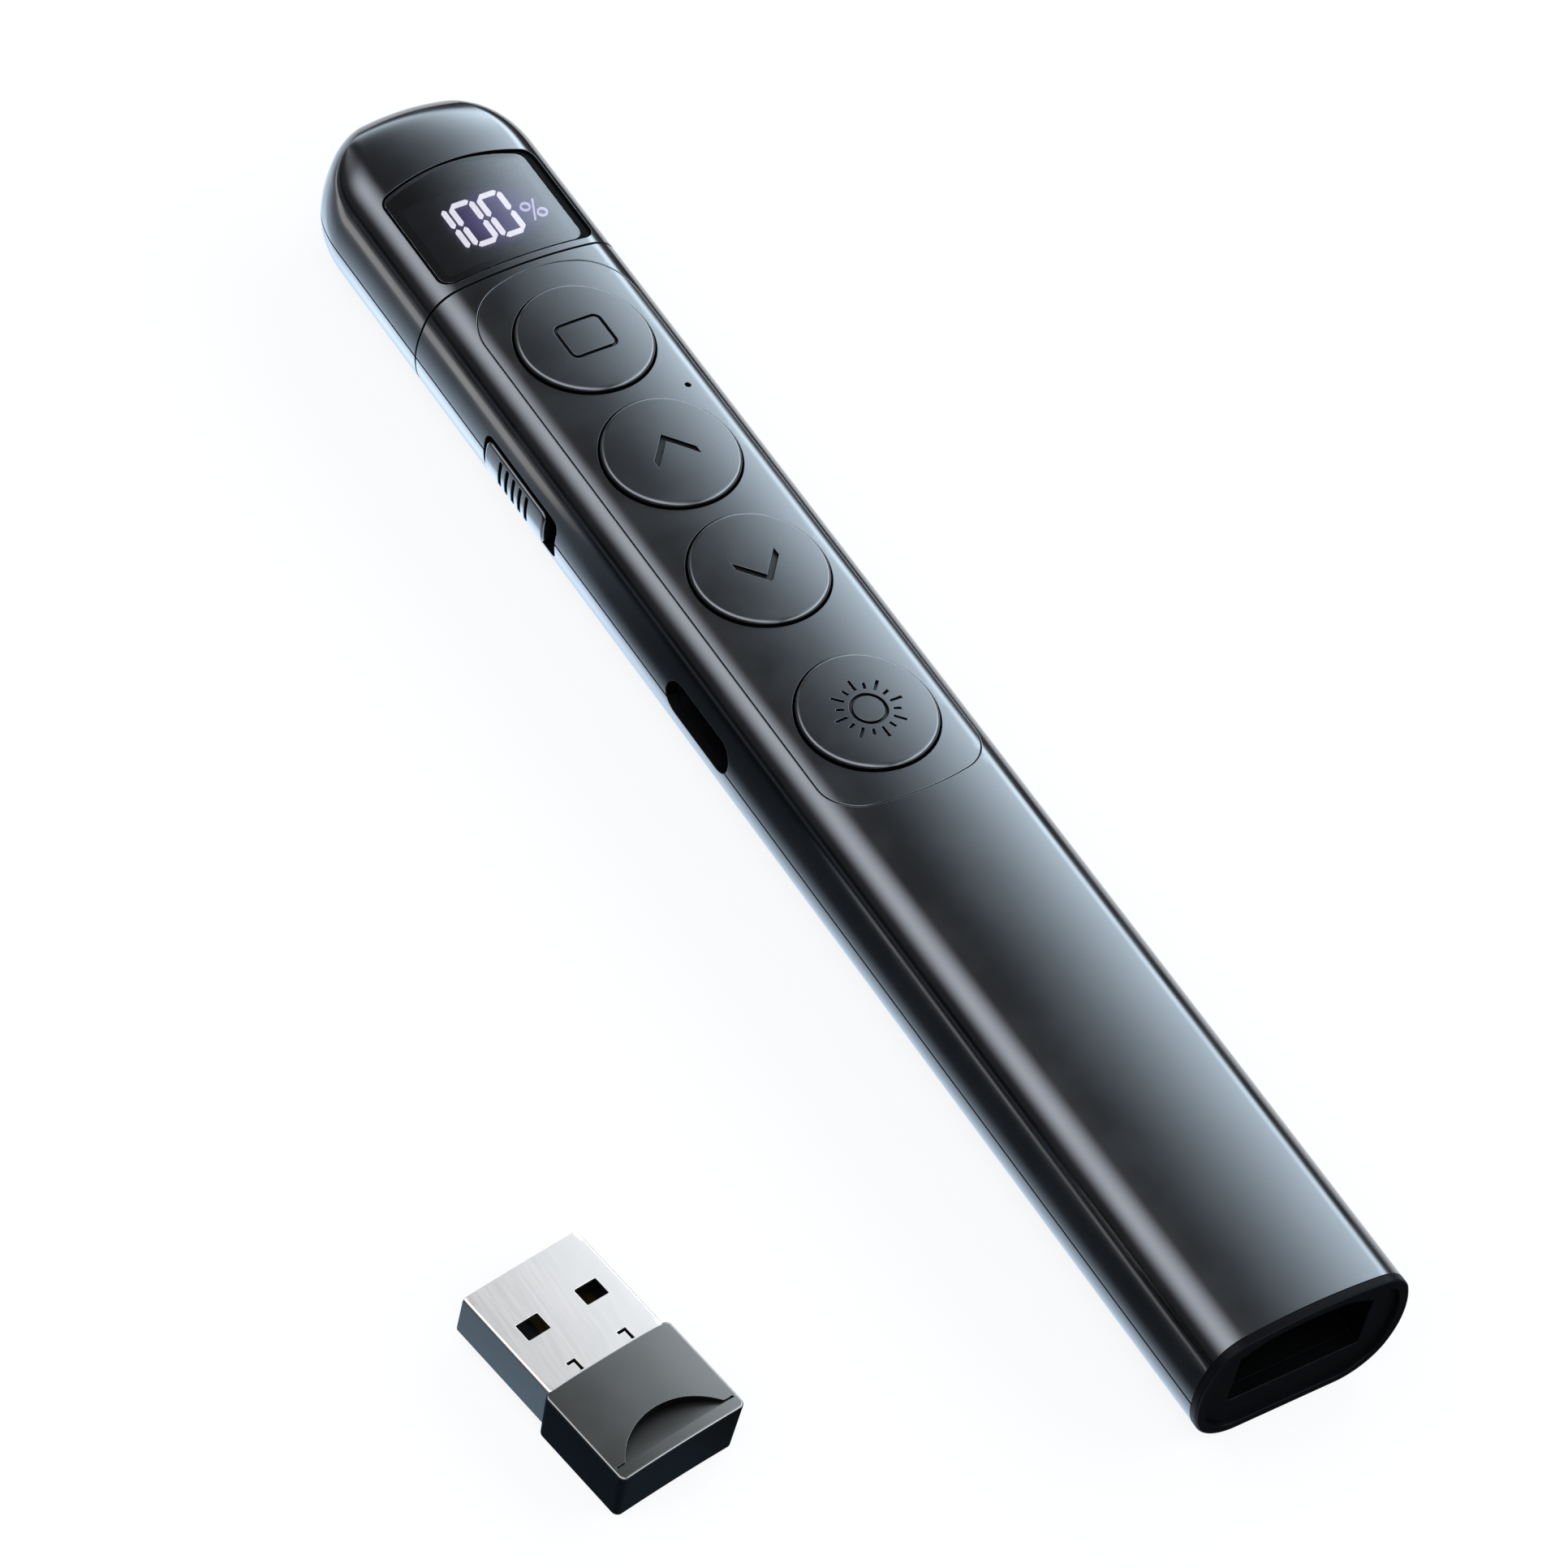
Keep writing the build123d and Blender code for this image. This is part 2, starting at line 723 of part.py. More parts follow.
# ------------------------------------------------------------------ display
lens_left = -panel_half_width + seal_left
lens_right = panel_half_width - seal_right
lens_low_y = window_low_y + seal_left
lens_high_y = window_high_y - seal_left
lens_corner = window_corner - seal_left
lens_bows = (0.0, window_nose_bow)
lens_plan = (lens_left, lens_right, lens_low_y, lens_high_y, *lens_bows, lens_corner, lens_corner)
display_span = (window_low_y - wall, nose_round_y)

display_left = lens_left + seal_ledge + guide_gap
display_right = lens_right - seal_ledge - guide_gap
display_low_y = lens_low_y + seal_ledge + guide_gap
display_high_y = lens_high_y - seal_ledge - guide_gap - window_nose_bow
lens_edge = max(-lens_left, lens_right) - seal_ledge
lens_drop = lens_edge**2 / (2 * crown_radius)  # how far the arch falls towards the lens's edge
segment_top_z = body_height - window_thickness - lens_drop - snug
guide_top_z = segment_top_z - segment_rise
display_board_top_z = guide_top_z - guide_thickness
display_mid = ((display_left + display_right) / 2, (display_low_y + display_high_y) / 2)
display_size = (display_right - display_left, display_high_y - display_low_y)

with BuildPart() as display_window:
    add(top_prism(*lens_plan))
    add(block(0, *display_span), mode=Mode.INTERSECT)
    add(block(window_thickness, *display_span), mode=Mode.SUBTRACT)
save(display_window, "display_window")

with BuildPart() as lens_seat:
    add(top_prism(*lens_plan, margin=snug))
    add(block(window_thickness, *display_span), mode=Mode.SUBTRACT)

with BuildPart() as window_seal:
    add(top_prism(*window_plan, margin=-snug))
    add(block(seal_sunk, *display_span), mode=Mode.INTERSECT)
    add(slab(*body_span, (0, display_board_top_z)), mode=Mode.SUBTRACT)
    add(top_prism(*lens_plan, margin=-seal_ledge), mode=Mode.SUBTRACT)
    add(lens_seat.part, mode=Mode.SUBTRACT)
save(window_seal, "window_seal")

with BuildPart() as display_light_guide:
    with BuildSketch(Plane.XY.offset(display_board_top_z)):
        with Locations(display_mid):
            Rectangle(*display_size)
    extrude(amount=guide_thickness)
save(display_light_guide, "display_light_guide")

with BuildPart() as display_board:
    with BuildSketch(Plane.XY.offset(display_board_top_z - display_board_thickness)):
        with Locations(display_mid):
            Rectangle(display_size[0] + 2 * seal_ledge, display_size[1] + 2 * seal_ledge)
    extrude(amount=display_board_thickness)
save(display_board, "display_board")

display_board_z = display_board_top_z - display_board_thickness
display_back_y = display_mid[1] - display_size[1] / 2 - seal_ledge
flex_path = [
    (board_high_y - flex_drop - flex_land, board_top_z),
    (board_high_y - flex_drop, board_top_z),
    (display_back_y, display_board_z - flex_thickness),
    (display_back_y + flex_land, display_board_z - flex_thickness),
]
flex_back = [(y, z + flex_thickness) for y, z in reversed(flex_path)]

with BuildPart() as display_flex:
    with BuildSketch(Plane.YZ.offset(-flex_width / 2)):
        with BuildLine():
            Polyline(*flex_path, *flex_back, close=True)
        make_face()
    extrude(amount=flex_width)
save(display_flex, "display_flex")

digit_low_y = window_low_y + digit_rise
digit_high_y = digit_low_y + digit_height
percent_right = display_right - percent_margin - percent_radius - percent_line / 2
last_stroke = percent_right - percent_width - percent_gap
digit_side = last_stroke - digit_width - digit_pitch  # left stroke of the middle digit
half_digit = digit_height / 2


def stroke(start, end):
    """Pointed bar of one segment, drawn short of both ends by half the dark break."""
    length = hypot(end[0] - start[0], end[1] - start[1]) - digit_slit
    turn = degrees(atan2(end[1] - start[1], end[0] - start[0]))
    tip, side = length / 2, digit_line / 2
    with Locations(Location(((start[0] + end[0]) / 2, (start[1] + end[1]) / 2, 0), (0, 0, turn))):
        Polygon(
            (-tip, 0),
            (-tip + side, -side),
            (tip - side, -side),
            (tip, 0),
            (tip - side, side),
            (-tip + side, side),
            align=None,
        )


with BuildPart() as display_segments:
    with BuildSketch(Plane.XY.offset(guide_top_z)):
        uprights = [digit_side - (digit_pitch - digit_width)]
        for first in (digit_side, digit_side + digit_pitch):
            uprights += [first, first + digit_width]
            for y in (digit_low_y, digit_high_y):
                stroke((first, y), (first + digit_width, y))
        for x in uprights:
            for y in (digit_low_y, digit_low_y + half_digit):
                stroke((x, y), (x, y + half_digit))
        percent_left, percent_high_y = last_stroke + percent_gap, digit_low_y + 2 * percent_height
        for x, y in ((percent_left, percent_high_y), (percent_right, percent_high_y - percent_height)):
            with Locations((x, y)):
                Circle(percent_radius + percent_line / 2)
                Circle(percent_radius - percent_line / 2, mode=Mode.SUBTRACT)
        percent_mid = ((percent_left + percent_right) / 2, percent_high_y - percent_height / 2)
        with Locations(Location((*percent_mid, 0), (0, 0, percent_lean))):
            Rectangle(percent_stroke, percent_line)
    extrude(amount=segment_rise)
save(display_segments, "display_segments")

# ------------------------------------------------------------------ main board and what sits on it
usb_notch_length = usb_shell_length + 2 * board_notch_clearance
usb_front_x = -half_width + usb_shell_sunk
usb_back_x = usb_front_x + usb_shell_depth
board_mid_y = (board_low_y + board_high_y) / 2

with BuildPart() as main_board:
    with BuildSketch(Plane.XY.offset(board_z)):
        with Locations((0, board_mid_y)):
            RectangleRounded(2 * board_half_width, board_high_y - board_low_y, board_corner)
        with Locations((usb_back_x + board_notch_clearance - half_width / 2, usb_y)):
            Rectangle(half_width, usb_notch_length, mode=Mode.SUBTRACT)
        with Locations(screw_points):
            Circle(screw_shank_radius + snug, mode=Mode.SUBTRACT)
    extrude(amount=board_thickness)
save(main_board, "main_board")

with BuildPart() as board_screws:
    with BuildSketch(Plane.XY.offset(board_z - screw_head_height)):
        with Locations(screw_points):
            Circle(screw_head_radius)
    extrude(amount=screw_head_height)
    with BuildSketch(Plane.XY.offset(board_z)):
        with Locations(screw_points):
            Circle(screw_shank_radius)
    extrude(amount=screw_length - snug)
    with BuildSketch(Plane.XY.offset(board_z - screw_head_height)):
        with Locations(screw_points):
            Rectangle(screw_cross_length, screw_cross_width)
            Rectangle(screw_cross_width, screw_cross_length)
    extrude(amount=screw_cross_depth, mode=Mode.SUBTRACT)
save(board_screws, "board_screws")

with BuildPart() as board_chips:
    for x, y, (wide, long, tall) in (
        (processor_side, page_up_button_y, processor_size),
        (radio_side, laser_button_y + radio_setback, radio_size),
        (charger_side, window_button_y + charger_setback, charger_size),
    ):
        with Locations((x, y, board_z - tall / 2)):
            Box(wide, long, tall)
save(board_chips, "board_chips")

with BuildPart() as status_light_pipe:
    add(post(pinhole_side, pinhole_y, pipe_radius, board_top_z, body_height))
    add(block(wall + snug, pinhole_y - wall, pinhole_y + wall), mode=Mode.INTERSECT)
    add(post(pinhole_side, pinhole_y, pinhole_radius - snug, board_top_z, body_height))
    add(block(seal_sunk, pinhole_y - wall, pinhole_y + wall), mode=Mode.INTERSECT)
save(status_light_pipe, "status_light_pipe")

# ------------------------------------------------------------------ power switch
knob_span = (knob_y - knob_length, knob_y + knob_length)
knob_inset = wall + knob_play
knob_back_inset = knob_inset + knob_rim_thickness
pocket = lever_width + 2 * lever_clearance
knob_back_x = -half_width + knob_back_inset
slide_body_x = -board_half_width - snug

with BuildPart() as knob_rim_plate:
    add(side_prism(knob_y, seam_height, knob_length + 2 * knob_rim, knob_height + 2 * knob_rim, knob_corner))
    add(ring(knob_inset, knob_back_inset, *knob_span), mode=Mode.INTERSECT)

with BuildPart() as power_switch_knob:
    add(side_prism(knob_y, seam_height, knob_length, knob_height, knob_corner))
    add(ring(0, knob_back_inset, *knob_span), mode=Mode.INTERSECT)
    add(knob_rim_plate.part)
    for index in range(groove_count):
        groove_y = knob_y + (index - (groove_count - 1) / 2) * groove_pitch
        with Locations((-half_width, groove_y, seam_height)):
            Box(2 * groove_depth, groove_width, body_height, mode=Mode.SUBTRACT)
    with Locations((knob_back_x, knob_y, seam_height)):
        Box(2 * (lever_reach + lever_clearance), pocket, pocket, mode=Mode.SUBTRACT)
save(power_switch_knob, "power_switch_knob")

lever_low_x = knob_back_x - lever_reach
lever_high_x = slide_body_x + slide_body_width / 2
slide_body_y = knob_y - knob_travel / 2
lever_slot = lever_width + knob_travel + 2 * lever_clearance

with BuildPart() as switch_lever:
    add(
        slab(
            (lever_low_x, lever_high_x),
            (knob_y - lever_width / 2, knob_y + lever_width / 2),
            (seam_height - lever_width / 2, seam_height + lever_width / 2),
        )
    )
save(switch_lever, "switch_lever")

with BuildPart() as slide_switch_body:
    with Locations((slide_body_x + slide_body_width / 2, slide_body_y, board_z - slide_body_height / 2)):
        Box(slide_body_width, slide_body_length, slide_body_height)
    with Locations((slide_body_x, slide_body_y, seam_height)):
        Box(slide_body_width + 2 * lever_clearance, lever_slot, pocket, mode=Mode.SUBTRACT)
save(slide_switch_body, "slide_switch_body")

# ------------------------------------------------------------------ charging socket
usb_leg_root = usb_shell_length / 2 - usb_shell_wall
usb_leg_span = usb_shell_wall + usb_leg_reach
usb_leg_y = usb_leg_root + usb_leg_span / 2

with BuildPart() as usb_c_shell:
    with BuildSketch(Plane.YZ.offset(usb_front_x)):
        with Locations((usb_y, usb_height)):
            SlotOverall(usb_shell_length, usb_shell_height)
            SlotOverall(
                usb_shell_length - 2 * usb_shell_wall,
                usb_shell_height - 2 * usb_shell_wall,
                mode=Mode.SUBTRACT,
            )
    extrude(amount=usb_shell_depth)
    for x in (usb_front_x + usb_leg_setback, usb_back_x - usb_leg_setback):
        for hand in (-1, 1):
            with Locations((x, usb_y + hand * usb_leg_y, board_z - usb_leg_thickness / 2)):
                Box(usb_leg_length, usb_leg_span, usb_leg_thickness)
save(usb_c_shell, "usb_c_shell")

with BuildPart() as usb_c_tongue:
    with BuildSketch(Plane.YZ.offset(usb_back_x)):
        with Locations((usb_y, usb_height)):
            SlotOverall(usb_shell_length - 2 * usb_shell_wall, usb_shell_height - 2 * usb_shell_wall)
    extrude(amount=-usb_tongue_sunk)
    with BuildSketch(Plane.YZ.offset(usb_front_x + usb_tongue_sunk)):
        with Locations((usb_y, usb_height)):
            RectangleRounded(usb_tongue_width, usb_tongue_thickness, usb_tongue_thickness / 3)
    extrude(amount=usb_shell_depth - 2 * usb_tongue_sunk)
save(usb_c_tongue, "usb_c_tongue")

# ------------------------------------------------------------------ cell
cell_mid_y = (cell_low_y + cell_high_y) / 2
with BuildPart() as battery_cell:
    with BuildSketch(Plane.XZ.offset(-cell_high_y)):
        with Locations((0, cell_z + cell_height / 2)):
            RectangleRounded(2 * cell_half_width, cell_height, cell_edge)
    extrude(amount=cell_high_y - cell_low_y)
save(battery_cell, "battery_cell")

with BuildPart() as battery_tape:
    with BuildSketch(Plane.XY.offset(wall)):
        with Locations((0, cell_mid_y)):
            Rectangle(2 * (foot_half_width - snug), cell_high_y - cell_low_y - 2 * cell_edge)
    extrude(amount=tape_thickness)
save(battery_tape, "battery_tape")

with BuildPart() as battery_leads:
    with BuildSketch(Plane.XZ.offset(-(board_low_y + lead_overlap))):
        with Locations((-lead_side, board_z - lead_radius), (lead_side, board_z - lead_radius)):
            Circle(lead_radius)
    extrude(amount=board_low_y + lead_overlap - cell_high_y)
save(battery_leads, "battery_leads")

# ------------------------------------------------------------------ laser
with BuildPart() as laser_barrel:
    with BuildSketch(Plane.XZ.offset(-barrel_front_y)):
        with Locations((0, middle_z)):
            Circle(laser_barrel_radius)
    extrude(amount=laser_barrel_length)
save(laser_barrel, "laser_barrel")

laser_lead_back_y = board_high_y - lead_overlap
with BuildPart() as laser_leads:
    with BuildSketch(Plane.XZ.offset(-(barrel_front_y - laser_barrel_length))):
        with Locations((-lead_side, board_z - lead_radius), (lead_side, board_z - lead_radius)):
            Circle(lead_radius)
    extrude(amount=barrel_front_y - laser_barrel_length - laser_lead_back_y)
save(laser_leads, "laser_leads")

with BuildPart() as laser_bezel:
    with BuildSketch(Plane.XZ.offset(-nose_tip_y)):
        with Locations((0, middle_z)):
            Circle(laser_bezel_radius)
            Circle(laser_bore_radius, mode=Mode.SUBTRACT)
    extrude(amount=nose_tip_y - barrel_front_y)
save(laser_bezel, "laser_bezel")

with BuildPart() as laser_lens:
    with BuildSketch(Plane.XZ.offset(-(nose_tip_y - laser_lens_sunk))):
        with Locations((0, middle_z)):
            Circle(laser_bore_radius - snug / 2)
    extrude(amount=laser_lens_thickness)
save(laser_lens, "laser_lens")

# ------------------------------------------------------------------ tail cap
dock_half = dock_width / 2 + dock_wall
dock_low_z = dock_z - dock_height / 2
scoop_rise = body_height - wall - snug - scoop_margin - dock_top_z
scoop_tail_radius = ((scoop_width / 2) ** 2 + scoop_rise**2) / (2 * scoop_rise)
plug_slot_low_z = dock_top_z - dock_clearance - plug_sunk - plug_height - dock_clearance
magnet_z = (plug_slot_low_z + dock_top_z) / 2
dock_outside = (dock_low_z - dock_wall, dock_top_z + dock_wall)
cap_spigot_inset = wall + snug + cap_spigot_thickness
plug_half = plug_width / 2 + dock_clearance
grip_pocket = slab((-dock_width / 2, dock_width / 2), (tail_y, dock_step_y), (dock_low_z, dock_top_z))
plug_pocket = slab((-plug_half, plug_half), (tail_y, dock_end_y), (plug_slot_low_z, dock_top_z - plug_sunk))

with BuildPart() as tail_cap:
    add(block(0, tail_y, shell_tail_y))
    add(block(wall + snug, shell_tail_y, shell_tail_y + cap_plate))
    add(ring(wall + snug, cap_spigot_inset, shell_tail_y, shell_tail_y + cap_spigot_length))
    add(slab((-dock_half, dock_half), (shell_tail_y, dock_back_y), dock_outside))
    add(block(cap_rim, tail_y, tail_y + cap_recess), mode=Mode.SUBTRACT)
    add(grip_pocket, mode=Mode.SUBTRACT)
    add(plug_pocket, mode=Mode.SUBTRACT)
    with BuildSketch(Plane.XZ.offset(-tail_y)) as tail_scoop:
        with Locations((0, dock_top_z + scoop_rise - scoop_tail_radius)):
            Circle(scoop_tail_radius)
        with Locations((0, dock_top_z - far / 2)):
            Rectangle(far, far, mode=Mode.SUBTRACT)
    extrude(amount=-tail_scoop_depth, mode=Mode.SUBTRACT)
    with Locations((0, dock_back_y, magnet_z)):
        Box(
            magnet_width + 2 * snug,
            2 * (magnet_thickness + snug),
            magnet_height + 2 * snug,
            mode=Mode.SUBTRACT,
        )
save(tail_cap, "tail_cap")

with BuildPart() as dock_magnet:
    with Locations((0, dock_back_y - magnet_thickness / 2, magnet_z)):
        Box(magnet_width, magnet_thickness, magnet_height)
save(dock_magnet, "dock_magnet")

# ------------------------------------------------------------------ receiver, standing on the desk by itself
yaw = radians(receiver_yaw)
desk = Plane(origin=(receiver_x, receiver_y, 0), x_dir=(cos(yaw), sin(yaw), 0), z_dir=(0, 0, 1))


def desk_front(y):
    """Upright plane across the receiver, y ahead of the grip's face. It extrudes towards the grip's end."""
    return Plane(origin=desk.from_local_coords((0, y, 0)), x_dir=desk.x_dir, z_dir=-desk.y_dir)


plug_top_z = grip_height - plug_sunk
plug_low_z = plug_top_z - plug_height
plug_mid_z = plug_low_z + plug_height / 2
plug_inner = (plug_width - 2 * plug_wall, plug_height - 2 * plug_wall)
root_top_z = grip_height - plug_roof
tongue_z = plug_low_z + plug_wall + tongue_thickness / 2

with BuildPart() as receiver_plug_shell:
    with BuildSketch(desk_front(plug_length)):
        with Locations((0, plug_mid_z)):
            RectangleRounded(plug_width, plug_height, plug_corner)
            RectangleRounded(*plug_inner, plug_corner - plug_wall, mode=Mode.SUBTRACT)
    extrude(amount=plug_length + plug_root)
    with BuildSketch(desk.offset(root_top_z)):
        with Locations((0, -plug_root)):
            Rectangle(2 * plug_width, 2 * plug_root)
    extrude(amount=grip_height, mode=Mode.SUBTRACT)
    with BuildSketch(desk):
        with Locations((-plug_hole_side, plug_hole_setback), (plug_hole_side, plug_hole_setback)):
            Rectangle(plug_hole_width, plug_hole_length)
    extrude(amount=2 * grip_height, mode=Mode.SUBTRACT)
    with BuildSketch(desk.offset(plug_mid_z)):
        for side in (-tab_slot_side, tab_slot_side):
            with Locations((side, tab_slot_reach - tab_slot_line / 2)):
                Rectangle(tab_slot_width, tab_slot_line)
            with Locations((side + (tab_slot_width - tab_slot_line) / 2, tab_slot_reach / 2)):
                Rectangle(tab_slot_line, tab_slot_reach)
    extrude(amount=grip_height, mode=Mode.SUBTRACT)
save(receiver_plug_shell, "receiver_plug_shell")

with BuildPart() as receiver_insulator:
    with BuildSketch(desk_front(plug_length - tongue_sunk)):
        with Locations((0, tongue_z)):
            RectangleRounded(plug_inner[0] - 2 * snug, tongue_thickness, plug_corner - plug_wall)
    extrude(amount=plug_length - tongue_sunk + plug_root)
save(receiver_insulator, "receiver_insulator")

with BuildPart() as receiver_contacts:
    with BuildSketch(desk.offset(tongue_z + tongue_thickness / 2)):
        for index in range(contact_count):
            contact_x = (index - (contact_count - 1) / 2) * contact_pitch
            with Locations((contact_x, plug_length - 2 * tongue_sunk - contact_length / 2)):
                Rectangle(contact_width, contact_length)
    extrude(amount=contact_thickness)
save(receiver_contacts, "receiver_contacts")

cavity_back_y = -grip_length + grip_wall
crease_y = -grip_length + end_bar
desk_side = Plane(origin=desk.from_local_coords((0, 0, 0)), x_dir=desk.y_dir, z_dir=desk.x_dir)

with BuildPart() as nail_scoop:
    with BuildSketch(desk.offset(grip_height)):
        with Locations((0, crease_y + scoop_reach - scoop_radius)):
            Circle(scoop_radius)
        with Locations((0, crease_y - scoop_radius)):
            Rectangle(3 * scoop_radius, 2 * scoop_radius, mode=Mode.SUBTRACT)
    extrude(amount=-scoop_depth)
    with BuildSketch(desk_side):
        with BuildLine():
            Polyline(
                (crease_y, grip_height),
                (crease_y + scoop_reach, grip_height - scoop_depth),
                (crease_y + scoop_reach, grip_height),
                close=True,
            )
        make_face()
    extrude(amount=2 * scoop_radius, both=True, mode=Mode.INTERSECT)

with BuildPart() as receiver_grip:
    with BuildSketch(desk) as grip_plan:
        with Locations((0, -grip_length / 2)):
            Rectangle(grip_width, grip_length)
        fillet(grip_plan.vertices(), grip_corner)
    extrude(amount=grip_height)
    chamfer(receiver_grip.faces().sort_by(Axis.Z)[-1].edges(), grip_bevel)
    with BuildSketch(desk_front(0)):
        with Locations((0, (plug_low_z - snug + root_top_z) / 2)):
            Rectangle(plug_width + 2 * snug, root_top_z - plug_low_z + snug)
    extrude(amount=plug_root + snug, mode=Mode.SUBTRACT)
    with BuildSketch(desk_front(-plug_root)):
        with Locations((0, tongue_z)):
            Rectangle(stick_board_width + 2 * snug, tongue_thickness)
    extrude(amount=-cavity_back_y - plug_root, mode=Mode.SUBTRACT)
    add(nail_scoop.part, mode=Mode.SUBTRACT)
save(receiver_grip, "receiver_grip")

with BuildPart() as receiver_board:
    with BuildSketch(desk_front(-plug_root - snug)):
        with Locations((0, tongue_z)):
            Rectangle(stick_board_width, stick_board_thickness)
    extrude(amount=-cavity_back_y - plug_root - 2 * snug)
save(receiver_board, "receiver_board")
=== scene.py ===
"""Skins, keys, display, finishes and studio of a wireless presentation clicker and its USB receiver.

All in metres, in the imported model's frame: X is across the body, +Y runs to the nose, +Z is up.
"""

from math import asin, atan2, cos, degrees, hypot, pi, radians, sin, sqrt

import bpy
import numpy as np
from bpy.props import FloatProperty, FloatVectorProperty, IntProperty, PointerProperty
from mathutils import Matrix, Vector, geometry


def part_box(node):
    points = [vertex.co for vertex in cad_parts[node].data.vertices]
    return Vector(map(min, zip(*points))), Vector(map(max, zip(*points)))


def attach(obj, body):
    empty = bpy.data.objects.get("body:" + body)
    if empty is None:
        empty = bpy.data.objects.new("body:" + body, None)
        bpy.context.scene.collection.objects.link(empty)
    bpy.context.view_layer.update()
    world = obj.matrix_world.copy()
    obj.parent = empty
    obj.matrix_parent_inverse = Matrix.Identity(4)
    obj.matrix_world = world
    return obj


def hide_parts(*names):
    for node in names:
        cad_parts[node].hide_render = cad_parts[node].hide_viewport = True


bl_info = {
    "name": "Presentation Clicker Looks",
    "version": (1, 0, 0),
    "blender": (4, 5, 0),
    "location": "View3D > Sidebar > Clicker",
    "description": "Skins, keys, display, receiver and studio of a presentation clicker",
    "category": "Object",
}

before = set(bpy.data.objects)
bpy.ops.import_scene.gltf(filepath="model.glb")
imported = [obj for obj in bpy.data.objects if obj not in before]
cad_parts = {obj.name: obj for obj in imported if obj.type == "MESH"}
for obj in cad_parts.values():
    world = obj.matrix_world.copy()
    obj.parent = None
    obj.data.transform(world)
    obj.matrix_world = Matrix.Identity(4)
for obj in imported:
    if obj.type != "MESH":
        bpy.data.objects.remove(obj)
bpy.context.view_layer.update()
MM = 0.001
QUARTER = pi / 2
UP = np.array((0.0, 0.0, 1.0))


def mm(*values):
    """Values given in millimetres."""
    return [value * MM for value in values]


def span(node):
    """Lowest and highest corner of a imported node."""
    return [np.array(corner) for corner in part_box(node)]


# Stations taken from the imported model
HALF_WIDTH, _, TOP_Z = span("tail_cap")[1]
MIDDLE_Z = TOP_Z / 2
TAIL_Y = span("tail_cap")[0][1]
SHELL_TAIL_Y = span("body_lower_shell")[0][1]
(_, NOSE_BACK_Y, _), (_, NOSE_TIP_Y, SEAM_LOW_Z) = span("nose_lower_shell")
SEAM_HIGH_Z = span("nose_upper_shell")[0][2]
BODY_FRONT_Y = NOSE_BACK_Y - (SEAM_HIGH_Z - SEAM_LOW_Z)
BORE_RADIUS = span("laser_bezel")[1][0] + 0.05 * MM

# Shape of the body's section and of the nose
CROWN_RADIUS = 42 * MM  # shallow arch of the top
SHOULDER_RUN = 3.6 * MM  # from the side to where the arch meets the shoulder
SHOULDER_ANGLE = radians(72)
BELLY_RUN = 5.4 * MM  # from the side to the flat foot
BELLY_ANGLE = radians(68)
WALL = 1.5 * MM
NOSE_ROUND = 9.4 * MM
NOSE_PLAN_POWER = 2.3
NOSE_SIDE_POWER = 3.2
NOSE_END_SHARE = 0.985
NOSE_END_ANGLE = asin(NOSE_END_SHARE)
NOSE_ROUND_Y = NOSE_TIP_Y - NOSE_END_SHARE * NOSE_ROUND
ROUND_END = NOSE_ROUND_Y + NOSE_ROUND * NOSE_END_ANGLE
TIP_RUN = 1.0 * MM  # stretch of the station in which the flat tip closes on the laser's bore
TIP_END = ROUND_END + TIP_RUN

# Fineness of the meshes
SMALL = 0.001 * MM  # step of the differences that give a surface's normal
TABLE_COUNT = 6001
NEAR_SHARE = 0.3  # of a step: no point is added nearer than this to one that is there
EDGE_CLEAR = 0.5  # pitches between a filling grid and the loops round it
CDT_SLACK = 1e-6
ROUND_ROWS = 5
RIM_ROWS = 7
ARC_COUNT = 40
FACE_COUNT = 161
RIM_COUNT = 241
CAP_COUNT = 160
FINE_STEP = 0.4 * MM
LOOP_STEP = 0.5 * MM
OUTLINE_STEP = 0.6 * MM
PITCH = mm(0.25, 1.0)
NOSE_PITCH = mm(0.25, 0.5)
KEY_PITCH = mm(0.3, 0.4)
LENS_PITCH = mm(0.3, 0.5)


def running(values):
    """Sums of the values so far, from 0."""
    return np.concatenate([[0.0], np.cumsum(values)])


def matched(*values):
    """The values as arrays of one shape."""
    return np.broadcast_arrays(*(np.asarray(value, float) for value in values))


def pairs(first, second):
    """Spots of two values each."""
    return np.stack(matched(first, second), -1)


def unit(vectors):
    """Vectors scaled to length 1."""
    return vectors / np.linalg.norm(vectors, axis=-1, keepdims=True)


def corner_arcs(arch_radius, arch_half, hand_over):
    """Lean at an arch's end, and radii of the corner arc and the side arc that lead on to the upright side,
    tangent all the way, from two linear equations. An arch_radius of 0 means a flat."""
    lean = asin(arch_half / arch_radius) if arch_radius else 0.0
    run, fall = HALF_WIDTH - arch_half, MIDDLE_Z - arch_radius * (1 - cos(lean))
    a, b = sin(hand_over) - sin(lean), 1 - sin(hand_over)
    c, d = cos(lean) - cos(hand_over), cos(hand_over)
    det = a * d - b * c
    return lean, (run * d - b * fall) / det, (a * fall - c * run) / det


